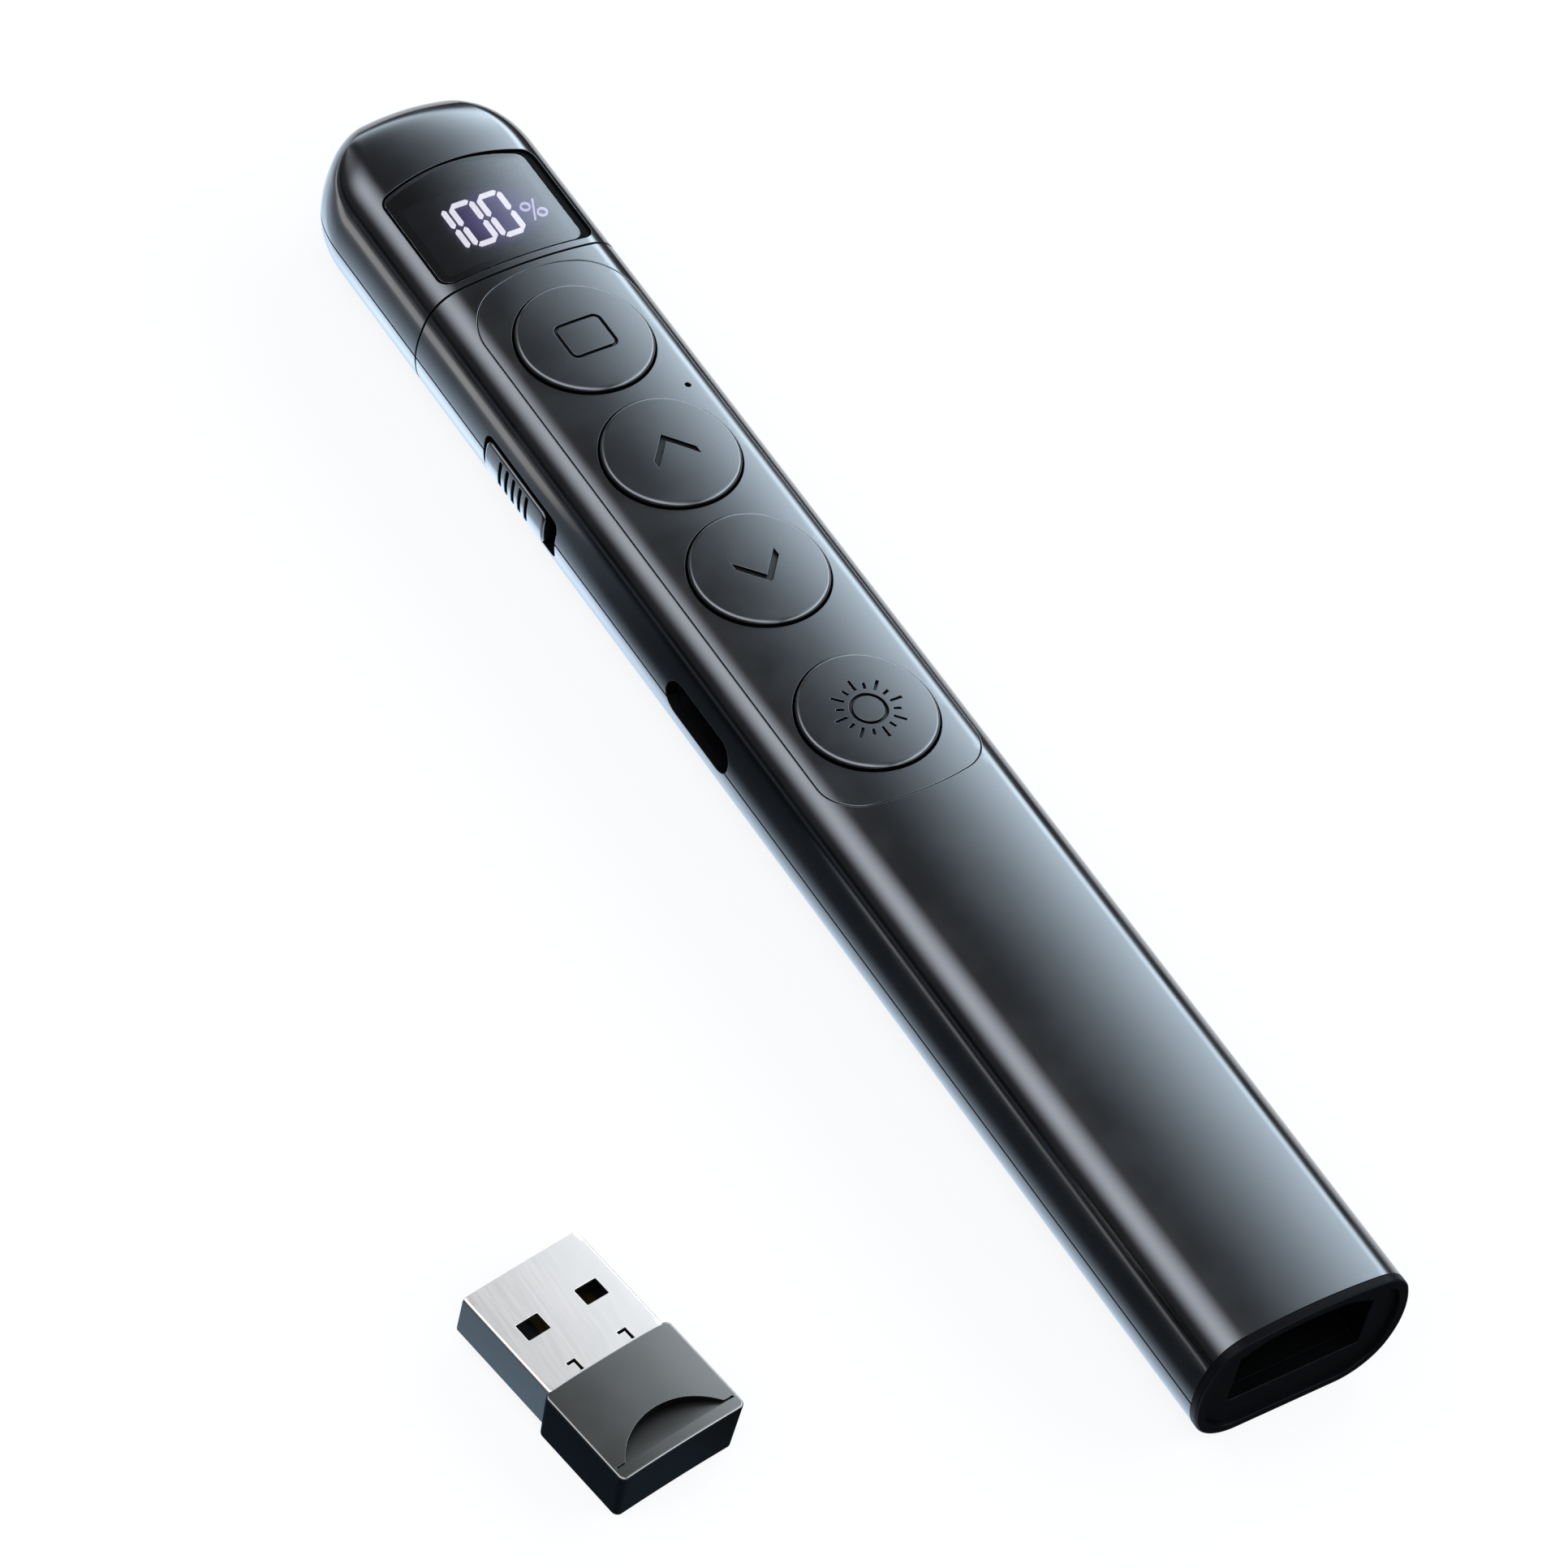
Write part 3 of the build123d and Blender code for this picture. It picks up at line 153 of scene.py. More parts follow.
def section_of(top_z, stretches):
    """Function of arc length round a closed section, mirrored about its middle, and half its length. The
    right half starts at the middle of the top. Each stretch has a length and the angle that it turns through,
    so a point is its stretch's start plus a chord: the arc's length times sin(t) / t, for half its angle t,
    along the tangent half way."""
    lengths, turns = np.array(stretches).T
    begins, angles = running(lengths), running(turns)
    chords = lengths * np.sinc(turns / 2 / np.pi)
    middles = angles[:-1] + turns / 2
    corner_x, corner_z = running(chords * np.cos(middles)), top_z - running(chords * np.sin(middles))
    half = begins[-1]

    def section(run):
        run = (np.asarray(run, float) + half) % (2 * half) - half
        ahead = np.abs(run)
        index = np.clip(np.searchsorted(begins, ahead, side="right") - 1, 0, len(lengths) - 1)
        rest = ahead - begins[index]
        half_turn = (turns / lengths)[index] * rest / 2
        chord = rest * np.sinc(half_turn / np.pi)
        x = corner_x[index] + chord * np.cos(angles[index] + half_turn)
        z = corner_z[index] - chord * np.sin(angles[index] + half_turn)
        return np.sign(run) * x, z

    return section, half


def body_stretches():
    """Arch, shoulder, side above the middle, side below it, belly and half the flat foot."""
    foot_half = HALF_WIDTH - BELLY_RUN
    lean, shoulder, side = corner_arcs(CROWN_RADIUS, HALF_WIDTH - SHOULDER_RUN, SHOULDER_ANGLE)
    _, belly, low_side = corner_arcs(0.0, foot_half, BELLY_ANGLE)
    turns = [lean, SHOULDER_ANGLE - lean, QUARTER - SHOULDER_ANGLE, QUARTER - BELLY_ANGLE, BELLY_ANGLE]
    radii = [CROWN_RADIUS, shoulder, side, low_side, belly]
    return [(radius * turn, turn) for radius, turn in zip(radii, turns)] + [(foot_half, 0.0)]


body_section, HALF_GIRTH = section_of(TOP_Z, body_stretches())
RUN_TABLE = np.linspace(0, HALF_GIRTH, TABLE_COUNT)
X_TABLE, Z_TABLE = body_section(RUN_TABLE)
WIDEST = int(np.argmax(X_TABLE)) + 1


def run_at_side(x):
    """Arc length at which the upper half of the section is x to the side."""
    return np.sign(x) * np.interp(np.abs(x), X_TABLE[:WIDEST], RUN_TABLE[:WIDEST])


def run_at_height(z):
    """Arc length to a height on the right side."""
    return np.interp(-np.asarray(z), -Z_TABLE, RUN_TABLE)


def skin(run, station):
    """Point of the clicker's outside at an arc length round the section and a station along the body. The
    station is y up to the nose's rounding, and there an angle times the rounding's length: y moves on by the
    angle's sine, and the section shrinks about its middle along one superellipse across and one upright. Past
    it the flat tip closes on the laser's round bore."""
    run, station = matched(run, station)
    x, z = body_section(run)
    share = np.sin(np.clip((station - NOSE_ROUND_Y) / NOSE_ROUND, 0.0, NOSE_END_ANGLE))
    x = x * (1 - share**NOSE_PLAN_POWER) ** (1 / NOSE_PLAN_POWER)
    z = (z - MIDDLE_Z) * (1 - share**NOSE_SIDE_POWER) ** (1 / NOSE_SIDE_POWER)
    closing = np.clip((station - ROUND_END) / TIP_RUN, 0.0, None)
    pull = 1 + (BORE_RADIUS / np.hypot(x, z) - 1) * closing
    y = np.minimum(station, NOSE_ROUND_Y) + share * NOSE_ROUND
    return np.stack([x * pull, y, z * pull + MIDDLE_Z], -1)


def plane_of(origin, across, along):
    """Flat surface through origin, with its two directions."""
    origin, across, along = map(np.array, (origin, across, along))

    def plane(u, v):
        u, v = matched(u, v)
        return origin + u[..., None] * across + v[..., None] * along

    return plane


def lay(surface, spots, depth, lean=0.0, tilt=0.0):
    """Points and normals of spots on a surface, sunk by depth below it. The normal is the cross product of
    two central differences, tipped by tilt towards lean, a direction in the surface's own two values."""
    u, v = spots.T
    across = unit(surface(u + SMALL, v) - surface(u - SMALL, v))
    along = unit(surface(u, v + SMALL) - surface(u, v - SMALL))
    upright = unit(np.cross(across, along))
    lean = np.broadcast_to(lean, spots.shape)
    outward = lean[:, :1] * across + lean[:, 1:] * along
    normals = cos(tilt) * upright + sin(tilt) * outward
    return surface(u, v) - np.reshape(depth, (-1, 1)) * upright, unit(normals)


# Loops in a surface's two values
def dense(loop, step=LOOP_STEP):
    """The closed loop with points added evenly, so that no gap is much longer than step."""
    closed = np.vstack([loop, loop[:1]])
    lengths = running(np.linalg.norm(np.diff(closed, axis=0), axis=1))
    extra = np.linspace(0, lengths[-1], int(lengths[-1] / step) + 2)[:-1]
    near = np.abs(extra[:, None] - lengths).min(1) < NEAR_SHARE * step
    places = np.sort(np.concatenate([lengths[:-1], extra[~near]]))
    return pairs(*(np.interp(places, lengths, values) for values in closed.T))


def inside(spots, loops):
    """Whether each spot lies within an odd number of loops, by counting the edges to its right."""
    odd = np.zeros(len(spots), bool)
    u, v = spots[:, :1], spots[:, 1:]
    for loop in loops:
        (x, y), (next_x, next_y) = loop.T, np.roll(loop, -1, 0).T
        rise = np.where(y == next_y, 1.0, next_y - y)
        crossing = x + (v - y) * (next_x - x) / rise
        odd ^= (((y > v) != (next_y > v)) & (crossing > u)).sum(1) % 2 == 1
    return odd


def wound(loops):
    """The loops with the material on the left of each: anticlockwise, with a positive area, at an even depth
    of nesting, and clockwise where they are holes."""
    turned = []
    for loop in loops:
        hole = inside(loop[:1], [other for other in loops if other is not loop])[0]
        (x, y), (next_x, next_y) = loop.T, np.roll(loop, -1, 0).T
        area = np.sum(x * next_y - next_x * y)
        turned.append(loop if (area < 0) == hole else loop[::-1])
    return turned


def outward_of(loop):
    """Steps to the right of a loop that carry each of its edges out by 1: the sum of both edges' normals over
    1 plus their dot product."""
    ahead = unit(np.roll(loop, -1, 0) - loop)
    right = pairs(ahead[:, 1], -ahead[:, 0])
    before = np.roll(right, 1, 0)
    return (right + before) / (1 + (right * before).sum(-1, keepdims=True))


def arc(centre, radius, start, end, count=16):
    """Points of a circle's arc between two angles."""
    turn = np.linspace(start, end, count)
    return pairs(centre[0] + radius * np.cos(turn), centre[1] + radius * np.sin(turn))


def circle(centre, radius, count=96):
    """Points of a full circle."""
    return arc(centre, radius, 0, 4 * QUARTER, count + 1)[:-1]


def bulge(half, rise):
    """Radius of the arc that rises by rise over a chord's half, and the angle of its half."""
    radius = (half**2 + rise**2) / (2 * rise)
    return radius, asin(half / radius)


def rounded_box(centre, width, height, corner, count=8):
    """Rectangle with four round corners."""
    u, v = width / 2 - corner, height / 2 - corner
    middles = np.array([(u, v), (-u, v), (-u, -v), (u, -v)]) + centre
    return np.vstack([arc(middle, corner, k * QUARTER, (k + 1) * QUARTER, count)
                      for k, middle in enumerate(middles)])


def bowed_end(left, right, top, bow, corner):
    """Upper end of a plan, from the right: a corner arc, an arc bowed by bow, and a corner arc. A corner's
    centre lies where both of its neighbours are tangent to it."""
    half, middle = (right - left) / 2, (left + right) / 2
    radius, _ = bulge(half, max(bow, SMALL))
    low = top - radius
    side = half - corner
    rise = sqrt((radius - corner) ** 2 - side**2)
    angle = atan2(rise, side)
    return np.vstack([arc((middle + side, low + rise), corner, 0, angle),
                      arc((middle, low), radius, angle, pi - angle, ARC_COUNT)[1:-1],
                      arc((middle - side, low + rise), corner, pi - angle, pi)])


def top_plan(plan, margin=0.0):
    """Closed plan of a node seen from above, grown by margin, as arc length and station on the skin."""
    node, low_bow, high_bow, low_corner, high_corner = plan
    (left, low, _), (right, high, _) = span(node)
    left, right, low, high = left - margin, right + margin, low - margin, high + margin
    far = bowed_end(left, right, high, high_bow, high_corner + margin)
    near = bowed_end(left, right, -low, low_bow, low_corner + margin)[::-1] * (1, -1)
    return on_top(dense(np.vstack([far, near])))


def on_top(loop):
    """Loop seen from above, as arc length and station on the skin."""
    return pairs(run_at_side(loop[:, 0]), loop[:, 1])


def on_left(loop):
    """Loop of y and z, as arc length and station on the skin's left side."""
    return pairs(-run_at_height(loop[:, 1]), loop[:, 0])


# Shells
def lattice(loops, pitch):
    """Grid of spots inside the loops, clear of them."""
    pitch = np.array(pitch)
    low, high = loops[0].min(0), loops[0].max(0)
    counts = np.maximum(1, np.round((high - low) / pitch)).astype(int)
    rows = [np.linspace(a, b, n + 1)[1:-1] for a, b, n in zip(low, high, counts)]
    spots = np.stack(np.meshgrid(*rows, indexing="ij"), -1).reshape(-1, 2)
    spots = spots[inside(spots, loops)]
    if not len(spots):
        return spots
    gap = np.sqrt(((spots[:, None] / pitch - np.vstack(loops) / pitch) ** 2).sum(-1)).min(1)
    return spots[gap > EDGE_CLEAR]


def filled(loops, pitch):
    """Spots and triangles that fill the loops: the loops' own points, a grid between them, and the Delaunay
    triangles whose middles are inside."""
    spots = np.vstack([*loops, lattice(loops, pitch)])
    sides, first = [], 0
    for loop in loops:
        index = first + np.arange(len(loop))
        sides += np.stack([index, np.roll(index, -1)], -1).tolist()
        first += len(loop)
    scaled = (spots / MM).tolist()
    corners, _, triangles, *_ = geometry.delaunay_2d_cdt(scaled, sides, [], 0, CDT_SLACK, False)
    if len(corners) != len(spots):
        raise RuntimeError("two points of an outline lie on each other")
    triangles = np.array(triangles)
    triangles = triangles[inside(spots[triangles].mean(1), loops)]
    start, second, third = spots[triangles].transpose(1, 2, 0)
    (a, b), (c, d) = second - start, third - start
    flip = a * d - b * c < 0
    triangles[flip] = triangles[flip][:, ::-1]
    return spots, triangles


class Shell:
    """Patches of a piece, and all their faces. A patch has a row for each point: its place, its normal, its
    painted shade, which darkens the finish where shade would fall in gaps, recesses and hollows, and its
    wear, which rubs it off, both from 0 to 1."""

    SHADE, WORN = 6, 7

    def __init__(self):
        self.patches, self.faces, self.count = [], [], 0

    def add(self, points, normals, faces, painted_shade=0.0, worn=0.0):
        """Adds a patch."""
        self.faces += (np.asarray(faces) + self.count).tolist()
        _, painted_shade, worn = np.broadcast_arrays(points[:, 0], painted_shade, worn)
        self.patches.append(np.column_stack([points, normals, painted_shade, worn]))
        self.count += len(points)

    def strip(self, laid, painted_shade=0.0, worn=0.0):
        """Adds a grid of quads between closed rows of points and normals, which faces to the right of the
        rows as they go down. Painted shade and worn have a value for each row."""
        rows, normals = (np.array(kind) for kind in zip(*laid))
        count = rows.shape[1]
        here = np.arange(count)
        ahead = (here + 1) % count
        tops = np.arange(len(rows) - 1)[:, None] * count
        faces = np.stack([tops + here, tops + count + here, tops + count + ahead, tops + ahead], -1)
        painted_shade, worn = (np.repeat(np.broadcast_to(value, len(rows)), count) for value in (painted_shade, worn))
        self.add(rows.reshape(-1, 3), normals.reshape(-1, 3), faces.reshape(-1, 4), painted_shade, worn)


def plate(surface, outline, holes=(), pockets=(), thickness=WALL, sunk=0.0, soft=None, edge=None, floor=None,
          pitch=PITCH, joint=False, dark=0.7):
    """Closed plate on a surface, inside an outline and round its holes, sunk below the surface or, with a
    negative value, proud of it. Soft rounds the outline's two edges and edge the holes': a row lies 1 -
    sin(t) of the radius inside the edge and 1 - cos(t) of it down. Pockets are holes with a floor, at one
    depth or one for each spot. Painted shade darkens the walls and the underside, a joint's rounding as much
    as its wall, and a pocket's floor by dark, most where it is deepest."""
    shell = Shell()
    soft, edge = (sizes().edge_softness if value is None else value for value in (soft, edge))
    loops = wound([outline, *holes, *pockets])
    outs = [outward_of(loop) for loop in loops]
    softs = [soft] + [edge] * (len(loops) - 1)
    through = 1 + len(holes)
    drawn = [loop - radius * out for loop, out, radius in zip(loops, outs, softs)]
    spots, triangles = filled(drawn, pitch)
    shell.add(*lay(surface, spots, sunk), triangles)
    if pockets:
        spots, triangles = filled(drawn[:through], pitch)
    points, normals = lay(surface, spots, sunk + thickness)
    # The underside gets full painted shade.
    shell.add(points, -normals, triangles[:, ::-1], 1.0)
    quarter = np.linspace(0, QUARTER, ROUND_ROWS)
    for number, (loop, out, radius) in enumerate(zip(loops, outs, softs)):
        rows = [(radius * (1 - sin(t)), radius * (1 - cos(t)), t) for t in quarter]
        # Painted shade in rows: a rounding's last row, the wall below it and, at a joint, the whole rounding.
        tones = [float(t > 0 if joint and number == 0 else t == quarter[-1]) for t in quarter]
        if number < through:
            rows += [(e, thickness - d, pi - t) for e, d, t in rows[::-1]]
        else:
            rows += [(0.0, floor(loop) if callable(floor) else floor, QUARTER)]
        rest = len(rows) - ROUND_ROWS
        laid = [lay(surface, loop - e * out, sunk + d, unit(out), t) for e, d, t in rows]
        shell.strip(laid, tones + [1.0] * rest, [*np.sin(2 * quarter)] + [0.0] * rest)
    if pockets:
        spots, triangles = filled(wound(loops[through:]), pitch)
        bottom = floor(spots) if callable(floor) else np.full(len(spots), floor)
        # The pocket's floor gets painted shade, darker where it is deeper.
        shell.add(*lay(surface, spots, sunk + bottom), triangles, dark * np.sqrt(bottom / bottom.max()))
    return shell


def piece(name, shells, material, body, slot, *replaced):
    """Object made of shells, with their own normals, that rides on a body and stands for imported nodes."""
    table = np.vstack([patch for shell in shells for patch in shell.patches])
    faces, first = [], 0
    for shell in shells:
        faces += [[index + first for index in face] for face in shell.faces]
        first += shell.count
    mesh = bpy.data.meshes.new(name)
    mesh.from_pydata(table[:, :3].tolist(), [], faces)
    mesh.shade_smooth()
    mesh.normals_split_custom_set_from_vertices(table[:, 3:6].tolist())
    # Painted shade and wear go to the mesh as point attributes.
    for kind, column in (("painted_shade", Shell.SHADE), ("worn", Shell.WORN)):
        mesh.attributes.new(kind, "FLOAT", "POINT").data.foreach_set("value", table[:, column])
    mesh.materials.append(material)
    thing = linked(name, mesh)
    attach(thing, body)
    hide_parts(*replaced)


def linked(name, data):
    """New object in the scene."""
    thing = bpy.data.objects.new(name, data)
    bpy.context.scene.collection.objects.link(thing)
    return thing


def dress(material, *nodes):
    """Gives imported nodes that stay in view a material."""
    for node in nodes:
        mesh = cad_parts[node].data
        mesh.materials.clear()
        mesh.materials.append(material)


# What a user would change
def length(name, description, millimetres):
    """Property of a size."""
    return FloatProperty(name=name, description=description, default=millimetres * MM, min=0.0, unit="LENGTH")


def paint(name, description, *default):
    """Property of a colour, as linear values."""
    return FloatVectorProperty(name=name, description=description, default=default, subtype="COLOR",
                               min=0.0, max=1.0)


class ClickerSizes(bpy.types.PropertyGroup):
    """Sizes of the skins' small features."""

    edge_softness: length("Edge softness", "Radius of the shells' edges at their joints", 0.08)
    panel_edge: length("Panel edge", "Radius of the keypad panel's edges", 0.07)
    cap_proud: length("Key height", "How far a key stands above the panel", 0.5)
    cap_bevel: length("Key bevel", "Radius of a key's upper edge", 0.35)
    icon_depth: length("Icon depth", "Depth of the icons sunk in the keys", 0.3)
    groove_depth: length("Groove depth", "Depth of the power switch's grooves", 0.4)
    groove_count: IntProperty(name="Grooves", description="Grooves across the power switch", default=5, min=1)
    rim_softness: length("Cap rim", "Radius of the tail cap's outer edge", 0.25)


class ClickerColours(bpy.types.PropertyGroup):
    """Colours of the main finishes."""

    graphite: paint("Graphite", "Metallic lacquer of the shells, panel and keys", 0.1, 0.1, 0.104)
    black: paint("Black", "Tail cap, seal and dark trim", 0.003, 0.003, 0.0035)
    smoke: paint("Smoke", "Tint of the display window", 0.40, 0.40, 0.44)
    digits: paint("Digits", "Light of the display's strokes", 0.97, 0.95, 0.99)
    percent: paint("Percent sign", "Light of the display's percent sign", 0.52, 0.47, 0.68)
    glow: paint("Glow", "Violet light that leaks round the strokes", 0.1, 0.055, 0.27)
    steel: paint("Steel", "Sleeve of the receiver's plug", 0.84, 0.735, 0.675)


class ClickerStudio(bpy.types.PropertyGroup):
    """Light and camera of the studio."""

    key_strength: FloatProperty(name="Key light", description="Radiance of the right strip", default=5.2)
    fill_strength: FloatProperty(name="Fill light", description="Radiance of the left strip", default=2.6)
    room_strength: FloatProperty(name="Room light", description="Radiance between the strips", default=0.09)
    lens: FloatProperty(name="Lens", description="Focal length in millimetres", default=167.7)


def sizes():
    """The sizes in use."""
    return bpy.context.scene.clicker_sizes


def colours():
    """The colours in use."""
    return bpy.context.scene.clicker_colours


# Finishes
class Nodes:
    """The node tree of a new material, or of a world, with short calls for its nodes."""

    COLOUR_A, COLOUR_B, COLOUR_OUT = 6, 7, 2  # sockets of a Mix node between colours

    def __init__(self, name, world=False):
        self.owner = (bpy.data.worlds if world else bpy.data.materials).new(name)
        self.owner.use_nodes = True
        self.tree = self.owner.node_tree
        self.tree.nodes.clear()

    def add(self, kind, *inputs, **settings):
        """New node, with its first inputs in order, and its attributes or other inputs by name."""
        node = self.tree.nodes.new("ShaderNode" + kind)
        for key, value in settings.items():
            if hasattr(node, key):
                setattr(node, key, value)
            else:
                self.set(node, key.replace("_", " "), value)
        for index, value in enumerate(inputs):
            self.set(node, index, value)
        return node

    def set(self, node, label, value):
        """Gives an input a value, or joins it to an output or to a node's first output."""
        if isinstance(value, bpy.types.Node):
            value = value.outputs[0]
        if isinstance(value, bpy.types.NodeSocket):
            self.tree.links.new(value, node.inputs[label])
        else:
            node.inputs[label].default_value = value

    def close(self, shader, kind="Material"):
        """Ends the tree with a shader, and returns its material or world."""
        self.add("Output" + kind, shader)
        return self.owner

    def math(self, operation, *values):
        """Output of a Math node."""
        return self.add("Math", *values, operation=operation).outputs[0]

    def times(self, first, *others):
        """Product of the values."""
        for other in others:
            first = self.math("MULTIPLY", first, other)
        return first

    def ramp(self, value, start, end, low=0.0, high=1.0, kind="SMOOTHSTEP"):
        """Value taken from between start and end to between low and high."""
        return self.add("MapRange", value, start, end, low, high, interpolation_type=kind).outputs[0]

    def blend(self, share, first, second):
        """Colour between two colours."""
        node = self.add("Mix", share, data_type="RGBA")
        self.set(node, self.COLOUR_A, first)
        self.set(node, self.COLOUR_B, second)
        return node.outputs[self.COLOUR_OUT]

    def place(self):
        """Object coordinates."""
        return self.add("TexCoord").outputs["Object"]

    def axes(self):
        """Object coordinates, each by itself."""
        return self.add("SeparateXYZ", self.place()).outputs[:]

    def noise(self, scale, detail=2.0, stretch=(1.0, 1.0, 1.0), roughness=0.5):
        """Noise on Object coordinates, with scale in cells per metre, stretched along the axes."""
        place = self.add("Mapping", self.place(), Scale=stretch)
        return self.add("TexNoise", place, Scale=scale, Detail=detail, Roughness=roughness).outputs[0]


def rgba(colour, factor=1.0):
    """Colour with each part multiplied by factor, and alpha 1."""
    return (*(part * factor for part in colour), 1.0)


# Painted shade: where a piece carries it in full, its colour falls to this share.
SHADE_LEFT = 0.08  # share of its colour that a finish keeps in full shade
SHADE_ROUGH = 0.3
WORN_ROUGH = 0.2
WORN_PALE = 0.25  # how far a worn colour goes towards middle grey
MIDDLE_GREY = 0.5
WORN_SCALE = 900.0
WORN_BAND = (0.42, 0.62)  # band of the noise in which wear sets in
SMUDGE_BAND = (0.3, 0.7)
LEAST_ROUGH = 0.02
SMEAR_BAND = (0.35, 0.7)
SMEAR_ROUGH = (0.01, 0.045)


def finish(name, colour, roughness, mottle=0.08, mottle_scale=90.0, smudge=0.05, smudge_scale=160.0,
           grain_scale=5000.0, grain=0.6e-6, stretch=(1.0, 1.0, 1.0), wear=0.25, coat=0.0, **settings):
    """Finish with a slow mottle in its colour, smudges in its roughness and a fine grain in its relief. It is
    paler and rougher where a piece is worn, and darker, with less of its coat, where a piece carries painted
    shade. Settings are sockets that are the same all over."""
    nodes = Nodes(name)
    shader = nodes.add("BsdfPrincipled", **settings)
    worn, painted_shade = (nodes.add("Attribute", attribute_name=kind).outputs["Fac"] for kind in ("worn", "painted_shade"))
    slow = nodes.noise(mottle_scale, 3.0, stretch)
    body = nodes.blend(slow, rgba(colour, 1 - mottle), rgba(colour, 1 + mottle))
    worn = nodes.times(worn, nodes.ramp(nodes.noise(WORN_SCALE, 4.0), *WORN_BAND), wear)
    pale = rgba([part + WORN_PALE * (MIDDLE_GREY - part) for part in colour])
    rubbed = nodes.blend(worn, body, pale)
    # Painted shade darkens the colour; wear makes it paler.
    nodes.set(shader, "Base Color", nodes.blend(painted_shade, rubbed, rgba(colour, SHADE_LEFT)))
    touched = nodes.noise(smudge_scale, 2.0, stretch, 0.6)
    rough = nodes.ramp(touched, *SMUDGE_BAND, max(LEAST_ROUGH, roughness - smudge), roughness + smudge)
    rough = nodes.math("MULTIPLY_ADD", worn, WORN_ROUGH, rough)
    nodes.set(shader, "Roughness", nodes.math("MULTIPLY_ADD", painted_shade, SHADE_ROUGH, rough))
    if coat:
        nodes.set(shader, "Coat Weight", nodes.math("MULTIPLY_ADD", painted_shade, -coat, coat))
    relief = nodes.noise(grain_scale, 2.0, stretch)
    nodes.set(shader, "Normal", nodes.add("Bump", Strength=1.0, Distance=grain, Height=relief))
    return nodes.close(shader)


def graphite_lacquer(name="graphite_lacquer", roughness=0.2, colour=None):
    """Metallic lacquer under a clear coat, with fine flecks."""
    return finish(name, colour or colours().graphite, roughness, mottle=0.06, smudge=0.03, grain=0.08e-6,
                  grain_scale=2500.0, coat=1.0, Metallic=1.0, Coat_Roughness=0.05, Coat_IOR=1.45)


def black_plastic(name, roughness, grain=0.8e-6, gloss=0.5):
    """Black moulded plastic with a fine spark texture."""
    return finish(name, colours().black, roughness, mottle=0.15, smudge=0.06, grain=grain, wear=0.02,
                  IOR=1.5, Specular_IOR_Level=gloss)


def smoked_glass():
    """Tinted window that lets the display's light through, with faint smears in its polish."""
    nodes = Nodes("smoked_window")
    smear = nodes.noise(220.0, 4.0, stretch=(1.0, 3.0, 1.0))
    tint = nodes.blend(nodes.noise(90.0), rgba(colours().smoke), rgba(colours().smoke, 0.96))
    return nodes.close(nodes.add("BsdfPrincipled", IOR=1.8, Transmission_Weight=1.0, Base_Color=tint,
                                 Roughness=nodes.ramp(smear, *SMEAR_BAND, *SMEAR_ROUGH)))


PERCENT_X = 2.9 * MM  # the percent sign lies beyond it
STROKE_LIGHT = (2.2, 2.4)


def lit_strokes():
    """Strokes of the display: nearly even light, with another colour for the percent sign."""
    nodes = Nodes("lit_strokes")
    sign = nodes.math("GREATER_THAN", nodes.axes()[0], PERCENT_X)
    colour = nodes.blend(sign, rgba(colours().digits), rgba(colours().percent))
    strength = nodes.ramp(nodes.noise(2500.0), *SMUDGE_BAND, *STROKE_LIGHT)
    return nodes.close(nodes.add("Emission", colour, strength))


GLOW_REACH = (1.25, 1.55)  # in halves of the strokes' width and height
GLOW_START = 0.35


def glowing_guide():
    """Black light guide with a violet glow that fades with the distance from the middle of the digits."""
    nodes = Nodes("glowing_guide")
    low, high = span("display_segments")
    reach, middle = (*((high - low)[:2] / 2 * GLOW_REACH), 1.0), (low + high) / 2
    centred = nodes.add("Mapping", nodes.place(), vector_type="TEXTURE", Location=middle, Scale=reach)
    flat = nodes.add("VectorMath", centred, (1.0, 1.0, 0.0), operation="MULTIPLY")
    distance = nodes.add("VectorMath", flat, operation="LENGTH").outputs["Value"]
    glow = nodes.ramp(distance, GLOW_START, 1.0, 1.0, 0.0)
    return nodes.close(nodes.add("BsdfPrincipled", Base_Color=rgba(colours().black), Roughness=0.4,
                                 Emission_Color=rgba(colours().glow), Emission_Strength=glow))


def brushed_steel():
    """Sheet steel brushed along the plug. Its slow mottle, in cells of about 20 mm, is partly the steel's
    uneven tone and partly a painted reflection: a gradient of light across the plug's flat top.
    """
    return finish("brushed_steel", colours().steel, 0.36, mottle=0.12, mottle_scale=50.0, smudge=0.02,
                  smudge_scale=4000.0, grain=0.1e-6, grain_scale=12000.0, stretch=(1.0, 0.05, 1.0),
                  Metallic=1.0)


# Shells of the clicker
KEYS = ("window", "page_up", "page_down", "laser")
KEY_YS = [sum(span(key + "_button"))[1] / 2 for key in KEYS]
KEY_RADIUS = 6.2 * MM
KEY_GAP = 0.2 * MM
# A plan is a node, the bows of its low and high end, and the corners there
PANEL_PLAN = ("keypad_panel", *mm(1.5, 2.2, 3.9, 5.2))
LENS_PLAN = ("display_window", *mm(0, 1.3, 1.1, 1.1))
SEAL_PLAN = ("window_seal", *mm(0, 1.3, 1.25, 1.25))
PANEL_GAP = 0.05 * MM
PINHOLE_RADIUS = 0.27 * MM
SEAL_GAP = 0.05 * MM
WINDOW_EDGE = 0.03 * MM

